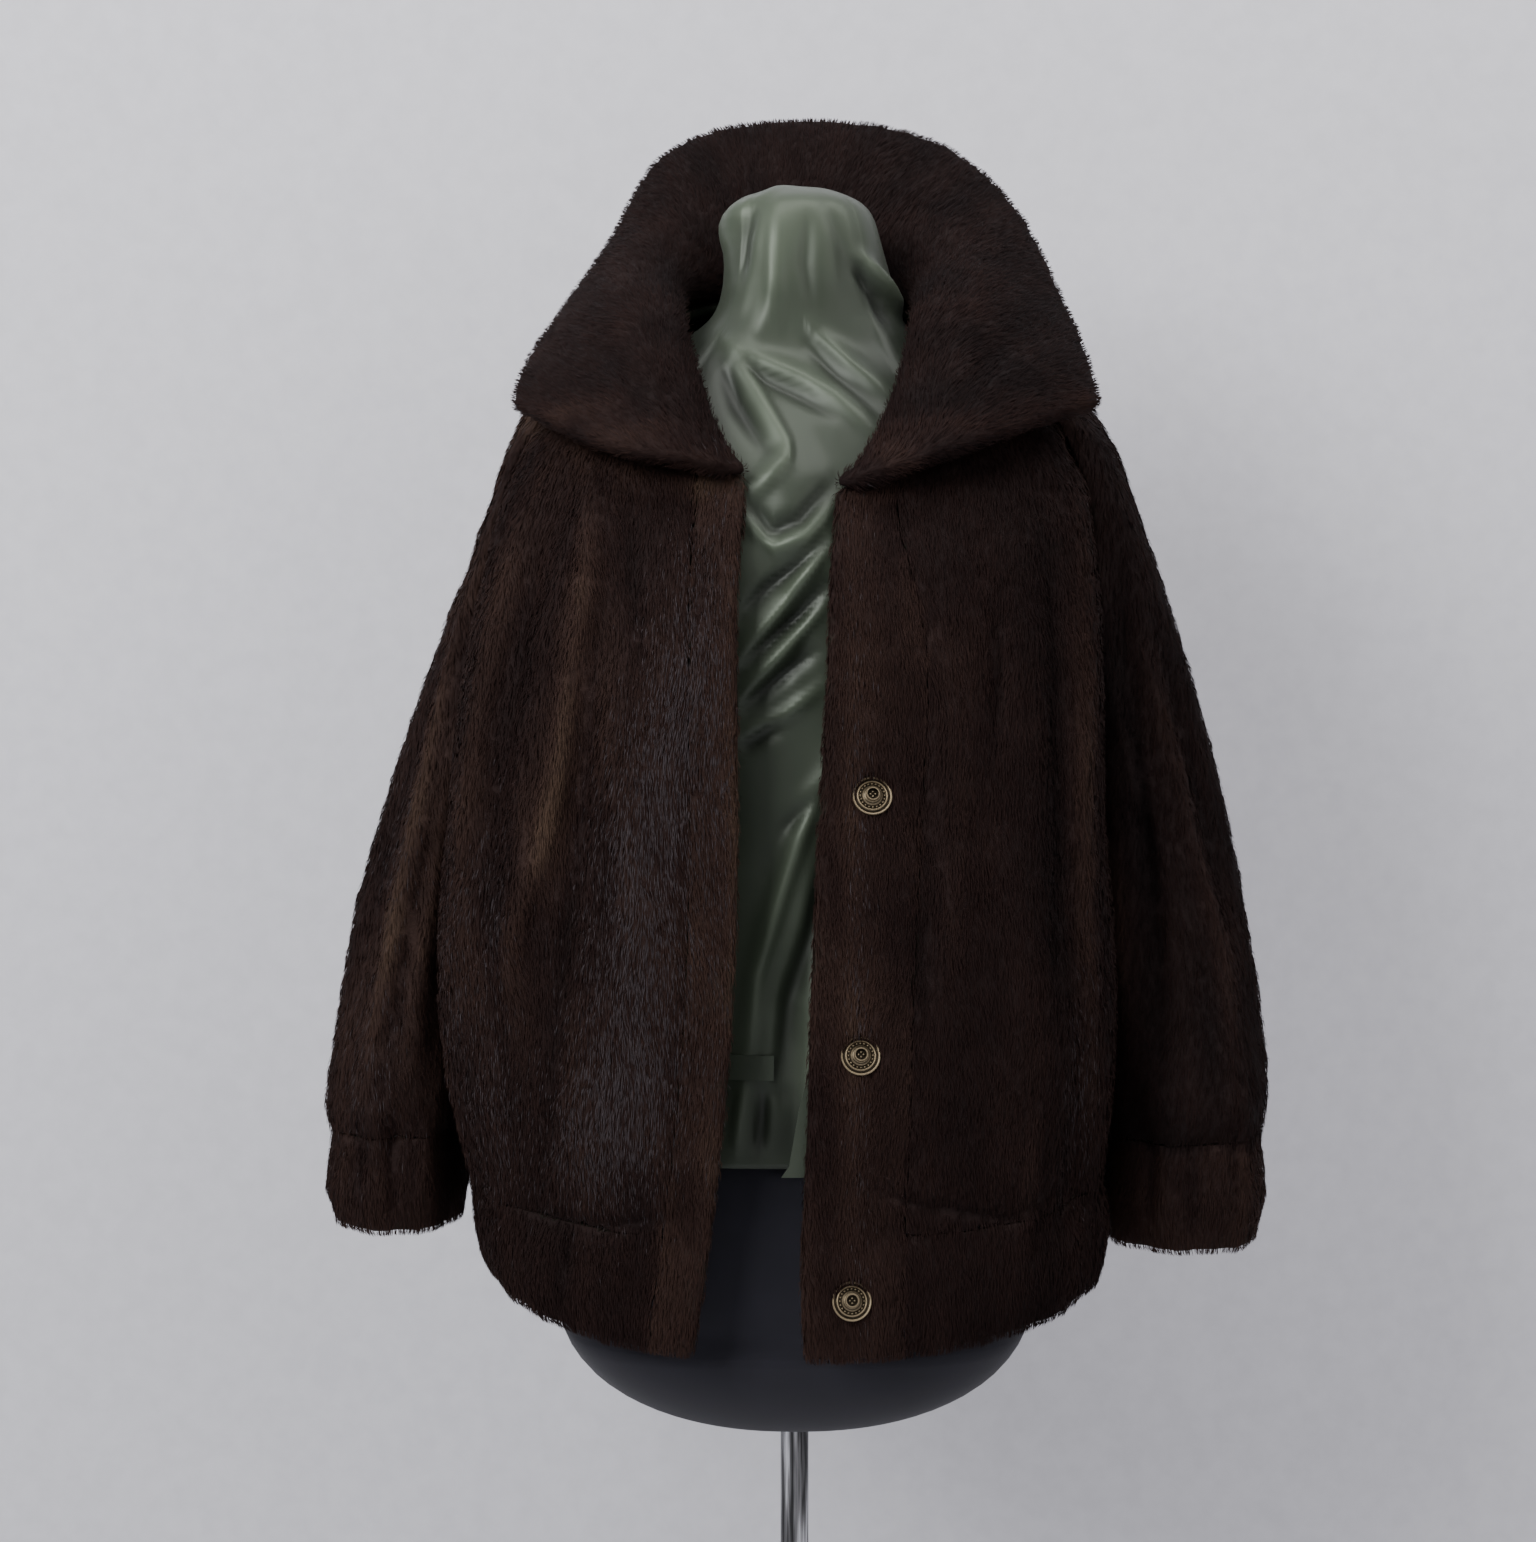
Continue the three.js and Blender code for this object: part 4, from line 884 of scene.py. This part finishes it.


# %% [markdown]
# ## Satin over the form
# The lining is a thin, slippery cloth that is drawn over the form's shoulders and neck. It hangs in long
# folds from the right shoulder to the lower left, is gathered under the chin of the form, and stands off in
# an ear and a flap at the top. The main folds are placed from the photograph, each with a steep and a gentle
# side.

# %% Folds of the satin, in millimetres as seen from the front
SATIN_CREASES = [
    # line, half width to its left and to its right, height
    ([(-45, 1394), (-27, 1380), (3, 1367), (25, 1355), (50, 1331)], 5, 9, 5.0),
    ([(-40, 1380), (-20, 1366), (6, 1352), (24, 1340)], 4, 5, -3.5),
    ([(11, 1401), (37, 1376), (62, 1356)], 4, 8, 4.5),
    ([(8, 1390), (30, 1366), (54, 1344)], 4, 5, -3.0),
    ([(-45, 1392), (-29, 1363), (-6, 1320), (-6, 1309), (-31, 1284)], 9, 4, 6.0),
    ([(-50, 1378), (-40, 1350), (-22, 1318)], 6, 5, -5.0),
    ([(-31, 1281), (-18, 1261), (2, 1270), (24, 1296)], 4, 6, -5.0),
    ([(-36, 1270), (-14, 1250), (6, 1258), (26, 1280)], 4, 6, 5.0),
    ([(22, 1256), (-5, 1217), (-38, 1175)], 7, 4, 6.0),
    ([(23, 1259), (0, 1240), (-20, 1225), (-37, 1207)], 4, 5, -6.0),
    ([(16, 1211), (-11, 1180), (-39, 1151)], 6, 4, 5.5),
    ([(20, 1228), (0, 1206), (-20, 1190), (-37, 1173)], 4, 5, -6.0),
    ([(11, 1184), (-9, 1168), (-33, 1147)], 4, 5, -5.5),
    ([(17, 1160), (-10, 1140), (-38, 1128)], 4, 5, 4.0),
    ([(-11, 1136), (-39, 1117)], 4, 6, -4.5),
    ([(17, 1091), (-11, 1063)], 4, 6, -3.5),
    ([(26, 1110), (13, 1088), (-8, 1024), (-26, 967), (-32, 914)], 8, 5, 6.0),
    ([(24, 1060), (10, 1000), (-6, 950), (-12, 890)], 6, 10, -7.0),
    ([(14, 960), (8, 900), (4, 850)], 5, 5, 4.0),
    ([(-35, 896), (-41, 850)], 4, 5, 3.5),
    ([(-22, 890), (-26, 846)], 4, 5, -4.0),
    ([(-30, 1491), (-11, 1505), (5, 1509)], 4, 4, 2.0),
    ([(-34, 1494), (-48, 1478), (-53, 1462)], 6, 6, 7.0),
    ([(-30, 1484), (-36, 1466), (-38, 1440)], 4, 5, -4.5),
    ([(46, 1454), (62, 1437), (80, 1416)], 5, 4, 6.5),
    ([(40, 1448), (54, 1428), (64, 1408)], 5, 4, -6.0),
    ([(-14, 1490), (-16, 1450), (-18, 1420)], 6, 8, 2.2),
    ([(8, 1480), (6, 1446), (10, 1420)], 5, 6, -2.2),
    ([(20, 1490), (32, 1460), (34, 1430)], 6, 6, -2.2),
]
# Painted light and shade on the satin: lighter at the top and low in the middle, darker at both shoulders,
# across the middle and at the bottom, where the coat's fronts shade it.
SATIN_PAINTED_LIGHT_AND_SHADE_MARKS = [
    # x, z, half width, half height in mm, and how much lighter
    (-12, 1480, 60, 34, 0.8),
    (-20, 1430, 22, 30, 0.6),
    (64, 1380, 30, 60, -0.7),
    (-62, 1370, 28, 50, -0.7),
    (10, 1300, 40, 40, -0.3),
    (10, 960, 40, 60, 0.5),
    (0, 860, 60, 30, -0.7),
]
SATIN_WALL = 0.0012

# %% Satin finish
satin_finish = Finish("green_satin", "satin", Metallic=0.25, Specular_IOR_Level=0.34, Sheen_Weight=0.03)
satin_place = satin_finish.place()
satin_cloud = satin_finish.noise(14, 2, satin_place)
warp = satin_finish.node(
    "ShaderNodeTexWave", {"wave_type": "BANDS", "bands_direction": "X"},
    {"Vector": satin_place, "Scale": 900.0, "Distortion": 0.6},
)
satin_colour = satin_finish.ramp(satin_cloud, [(0.3, (0.031, 0.040, 0.026)), (0.7, (0.043, 0.054, 0.037))])
# The weave's bands are the cloth's own; the fold value is painted shade in fold valleys, painted highlight on
# fold ridges, and the painted light and shade marks.
satin_shade = (0.94 + 0.12 * warp) * (1.0 + 0.65 * satin_finish.attribute("fold"))
satin_finish.feed(
    Base_Color=satin_finish.darken(satin_colour, satin_shade),
    Roughness=0.38 + 0.1 * satin_cloud,
    Normal=satin_finish.bump(warp, 0.08, 0.0002),
)


# %% The satin's skin
def front_columns(front, dense, sparse):
    """Bearings round the form: many within `front` degrees of straight ahead, few elsewhere."""
    near = np.linspace(-front, front, dense, endpoint=False)
    rest = np.linspace(front, 360 - front, sparse, endpoint=False)
    return np.radians(np.concatenate([near, rest]))


satin_columns = front_columns(52, 96, 44)
satin_levels = list(np.arange(0.8368, 1.43, 0.0037))
satin_grid = skin_of("satin_lining", satin_levels, 1.43, 26, satin_columns, 5)
satin_rows = len(satin_grid)
satin_points = satin_grid.reshape(-1, 3)
satin = object_from("satin_drape", satin_points, tube_faces(satin_rows, len(satin_columns)))
close_end(satin, top=True)
mesh = satin.data
points, normals = read_points(mesh), read_points(mesh, "normal")
outside = np.sign((normals[:, :2] * points[:, :2]).sum())
lift = 0.0004 * ripple(points, 0.05, 41)
front = blend(0.04, 0.0, points[:, 1])
for line, left, right, height in SATIN_CREASES:
    lift += front * crease_height(points[:, 0], points[:, 2], line, left, right, height)
# Painted shade and painted highlight: the fold value, from each place's lift and the marks, darkens or
# lightens the satin's colour.
shade = lift / 0.005 + marks_at(points, SATIN_PAINTED_LIGHT_AND_SHADE_MARKS)
store(mesh, "fold", np.clip(shade, -1, 1))
write_points(mesh, points + normals * (lift * outside)[:, None])
wall = satin.modifiers.new("thickness", "SOLIDIFY")
wall.thickness = SATIN_WALL
wall.offset = -1
apply_modifiers(satin)
bpy.ops.object.shade_smooth()
satin_finish.put_on(satin)
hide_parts("satin_lining")
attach(satin, "root")
print("satin", len(satin.data.polygons), "faces")

# %% [markdown]
# The small satin band and the end of satin under the left front are single flat cloths. Their solids are
# copied, subdivided and softened, which is all that a narrow strip needs.


# %% Satin band and tail
def soft_copy(solid, name, levels):
    piece = bpy.data.objects.new(name, solids[solid].data.copy())
    bpy.context.collection.objects.link(piece)
    take_up(piece)
    bpy.ops.object.mode_set(mode="EDIT")
    bpy.ops.mesh.select_all(action="SELECT")
    bpy.ops.mesh.remove_doubles(threshold=1e-6)
    bpy.ops.mesh.tris_convert_to_quads()
    bpy.ops.object.mode_set(mode="OBJECT")
    finer = piece.modifiers.new("finer", "SUBSURF")
    finer.subdivision_type = "SIMPLE"
    finer.levels = finer.render_levels = levels
    apply_modifiers(piece)
    bpy.ops.object.shade_smooth_by_angle(angle=math.radians(40))
    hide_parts(solid)
    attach(piece, "root")
    return piece


satin_band = satin_finish.put_on(soft_copy("lining_tab", "satin_band", 3))
satin_tail = satin_finish.put_on(soft_copy("lining_tail", "satin_tail", 3))
print("satin band and tail made")

# %% [markdown]
# ## The dress form
# The form is covered in a navy jersey, drawn tight and sewn with one upright seam down the front. Below the
# coat only its rounded bottom shows, where the cover is folded back round the pole.

# %% Form finish
form_finish = Finish("navy_jersey", "form_cloth", Specular_IOR_Level=0.25, Sheen_Weight=0.08)
form_place = form_finish.place()
knit = form_finish.node(
    "ShaderNodeTexWave", {"wave_type": "BANDS", "bands_direction": "Z"},
    {"Vector": form_place, "Scale": 480.0, "Distortion": 2.0, "Detail": 1.0},
)
form_cloud = form_finish.noise(30, 3, form_place)
form_colour = form_finish.ramp(form_cloud, [(0.3, (0.0075, 0.0075, 0.0115)), (0.7, (0.0115, 0.0112, 0.0165))])
form_finish.feed(
    Base_Color=form_finish.darken(form_colour, 0.85 + 0.3 * knit),
    Roughness=0.78 + 0.14 * form_cloud,
    Normal=form_finish.bump(knit, 0.25, 0.0003),
)

# %% The form's skin
form_columns = np.radians(np.arange(0, 360, 4.5))
form_levels = list(np.linspace(0.713, 1.43, 64))
form_bottom = list(range(88, 3, -4))
form_grid = skin_of("dress_form", form_levels, 1.43, 14, form_columns, 5, bottom=form_bottom)
form_points = form_grid.reshape(-1, 3)
# Under the satin the form is drawn in a little, so that no fold of the satin meets it.
FORM_DRAWN_IN = 0.006
drawn_in = FORM_DRAWN_IN * blend(0.85, 0.90, form_points[:, 2])
form_points = form_points - unit(form_points * (1, 1, 0)) * drawn_in[:, None]
form = object_from("jersey_form", form_points, tube_faces(len(form_grid), len(form_columns)))
close_end(form, top=True)
close_end(form, top=False)
take_up(form)
bpy.ops.object.shade_smooth()
form_finish.put_on(form)
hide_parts("dress_form")
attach(form, "root")
print("form", len(form.data.polygons), "faces")

# %% [markdown]
# ## Pole and base
# The stand is a chromed tube on a plain round base. Both keep their solids' shapes, so a finish is enough:
# clean chrome whose base colour carries painted reflections, dark and bright stripes along the pole.

# %% Chrome
chrome_finish = Finish("stand_chrome", "stand_chrome", Metallic=1.0)
reflection_place = chrome_finish.node(
    "ShaderNodeMapping", None, {"Vector": chrome_finish.place(), "Scale": (1, 1, 0.05)}
)
# Painted reflection: dark and bright stripes stretched along the pole stand in the base colour for a room
# mirrored in the chrome; the same pattern also varies the roughness.
reflection_streaks = chrome_finish.noise(240, 2, reflection_place)
chrome_finish.feed(
    Base_Color=chrome_finish.ramp(
        reflection_streaks, [(0.40, (0.035, 0.035, 0.035)), (0.55, (0.20, 0.20, 0.20)), (0.66, (0.52, 0.53, 0.54))]
    ),
    Roughness=0.10 + 0.12 * reflection_streaks,
)
for name in ("stand_pole", "stand_base"):
    chrome_finish.put_on(solids[name])

# %% [markdown]
# ## Snap studs
# Each stud is a turned and stamped cap of antique brass: a broad flange with two raised rings, a ring of
# beads, and a hollow post that the socket grips. A cylinder's end is inset and raised ring by ring, as the
# stamping does it, and the edges get a small bevel. The raised rings are rubbed bright, and the grooves
# stay dark.

# %% Brass
brass_finish = Finish("antique_brass", "snap_metal", Metallic=0.9)
patina = brass_finish.noise(900, 3)
brass_dark = brass_finish.ramp(patina, [(0.3, (0.010, 0.008, 0.005)), (0.7, (0.034, 0.026, 0.015))])
brass_colour = brass_finish.mix(brass_dark, (0.22, 0.175, 0.110, 1), brass_finish.attribute("rubbed"))
brass_finish.feed(
    Base_Color=brass_colour,
    Roughness=0.28 + 0.3 * patina,
    Normal=brass_finish.bump(patina, 0.2, 0.0002),
)

# %% Model the studs
STUD_RADIUS = 13 * MM
STUD_DEPTH = 2.4 * MM
STUD_STEPS = [
    # how far each ring lies inside the last, and how far it is raised, in millimetres
    (1.0, 0), (0.6, -0.9), (0.8, 0), (0.6, 1.3), (0.7, 0), (0.5, -0.9), (1.7, 0), (0.5, 1.1),
    (1.0, 0.7), (0.9, 0.3), (0.15, 3.0), (0.9, 0), (0.4, -2.6),
]
RUBBED_RINGS = [(11.9, 13.1), (9.2, 10.1), (5.6, 6.7), (3.6, 4.8)]
BEADS = 20


def turned_stud(name):
    """One stud at the origin, with its axis along Z."""
    bpy.ops.object.select_all(action="DESELECT")
    bpy.ops.mesh.primitive_cylinder_add(
        vertices=36, radius=STUD_RADIUS, depth=STUD_DEPTH, location=(0, 0, STUD_DEPTH / 2)
    )
    stud = bpy.context.object
    stud.name = name
    bpy.ops.object.transform_apply(location=True)
    bpy.context.tool_settings.mesh_select_mode = (False, False, True)
    stud.data.polygons.foreach_set("select", [face.normal.z > 0.9 for face in stud.data.polygons])
    bpy.ops.object.mode_set(mode="EDIT")
    for inward, raised in STUD_STEPS:
        bpy.ops.mesh.inset(thickness=inward * MM, depth=raised * MM)
    bpy.ops.object.mode_set(mode="OBJECT")
    edges = stud.modifiers.new("soft edges", "BEVEL")
    edges.width = 0.12 * MM
    edges.limit_method = "ANGLE"
    apply_modifiers(stud)
    radii = np.linalg.norm(read_points(stud.data)[:, :2], axis=1) / MM
    store(stud.data, "rubbed", sum((radii > low) & (radii < high) for low, high in RUBBED_RINGS))
    beads = [(8.0, 2.2, 0.68, turn * 360 / BEADS) for turn in range(BEADS)]
    beads += [(1.6, 5.0, 0.75, turn * 90) for turn in range(4)]
    made = [stud]
    for radius, height, size, turn in beads:
        spot = (radius * math.cos(math.radians(turn)), radius * math.sin(math.radians(turn)), height)
        bpy.ops.mesh.primitive_uv_sphere_add(
            segments=8, ring_count=5, radius=size * MM, location=[v * MM for v in spot]
        )
        bead = bpy.context.object
        store(bead.data, "rubbed", np.ones(len(bead.data.vertices)))
        made.append(bead)
    bpy.ops.object.select_all(action="DESELECT")
    for piece in made:
        piece.select_set(True)
    bpy.context.view_layer.objects.active = stud
    bpy.ops.object.join()
    bpy.ops.object.shade_smooth_by_angle(angle=math.radians(35))
    return stud


def seat_of(name):
    """The place and turn of a CAD stud, read from its own points."""
    points = read_points(solids[name].data)
    middle = points.mean(axis=0)
    axis = np.linalg.eigh(np.cov((points - middle).T))[1][:, 0]
    axis *= -np.sign(axis[1])
    foot = middle + axis * ((points - middle) @ axis).min()
    return Matrix.Translation(foot) @ Vector(axis).to_track_quat("Z", "Y").to_matrix().to_4x4()


for number in (1, 2, 3):
    stud = turned_stud("brass_stud_" + str(number))
    stud.data.transform(seat_of("snap_stud_" + str(number)))
    brass_finish.put_on(stud)
    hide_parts("snap_stud_" + str(number))
    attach(stud, "root")
    brass_finish.put_on(solids["snap_socket_" + str(number)])
print("each stud has", len(stud.data.polygons), "faces")

# %% [markdown]
# ## Room and light
# A plain pale wall and floor, a large soft window light from the upper left, and a dim even fill.

# %% Wall and floor
wall_finish = Finish("pale_wall", "stage", Roughness=0.9, Specular_IOR_Level=0.1)
wall_noise = wall_finish.noise(60, 2)
wall_finish.feed(
    Base_Color=wall_finish.ramp(wall_noise, [(0.3, (0.60, 0.60, 0.63)), (0.7, (0.64, 0.64, 0.67))])
)


def stage_plane(name, corners):
    plane = object_from(name, np.array(corners, float), np.array([[0, 1, 2, 3]]))
    plane.data.materials.append(wall_finish.material)
    return plane


WALL_Y = 0.46
stage_plane("floor", [(-6, -6, 0), (6, -6, 0), (6, 6, 0), (-6, 6, 0)])
stage_plane("wall", [(-6, WALL_Y, -0.2), (6, WALL_Y, -0.2), (6, WALL_Y, 5), (-6, WALL_Y, 5)])


# %% Lights
def soft_light(name, place, aim, size, power, colour):
    data = bpy.data.lights.new(name, "AREA")
    data.shape = "RECTANGLE"
    data.size, data.size_y = size
    data.energy = power
    data.color = colour
    lamp = bpy.data.objects.new(name, data)
    bpy.context.collection.objects.link(lamp)
    lamp.location = place
    lamp.rotation_euler = (Vector(aim) - Vector(place)).to_track_quat("-Z", "Y").to_euler()


soft_light("window", (-1.9, -2.1, 2.7), (0, 0.3, 1.8), (1.6, 1.6), 120, (0.98, 0.98, 1.0))
soft_light("fill", (2.4, -2.6, 2.2), (0.4, 0.4, 1.6), (2.4, 2.0), 27, (1.0, 0.97, 0.99))
soft_light("ceiling", (0.7, -0.7, 3.3), (0.7, 0.46, 1.9), (3.0, 0.8), 50, (1.0, 0.98, 1.0))
world = bpy.data.worlds.new("room")
world.use_nodes = True
world.node_tree.nodes["Background"].inputs["Color"].default_value = (0.97, 0.96, 1.0, 1)
world.node_tree.nodes["Background"].inputs["Strength"].default_value = 0.41
bpy.context.scene.world = world
print("room and light ready")
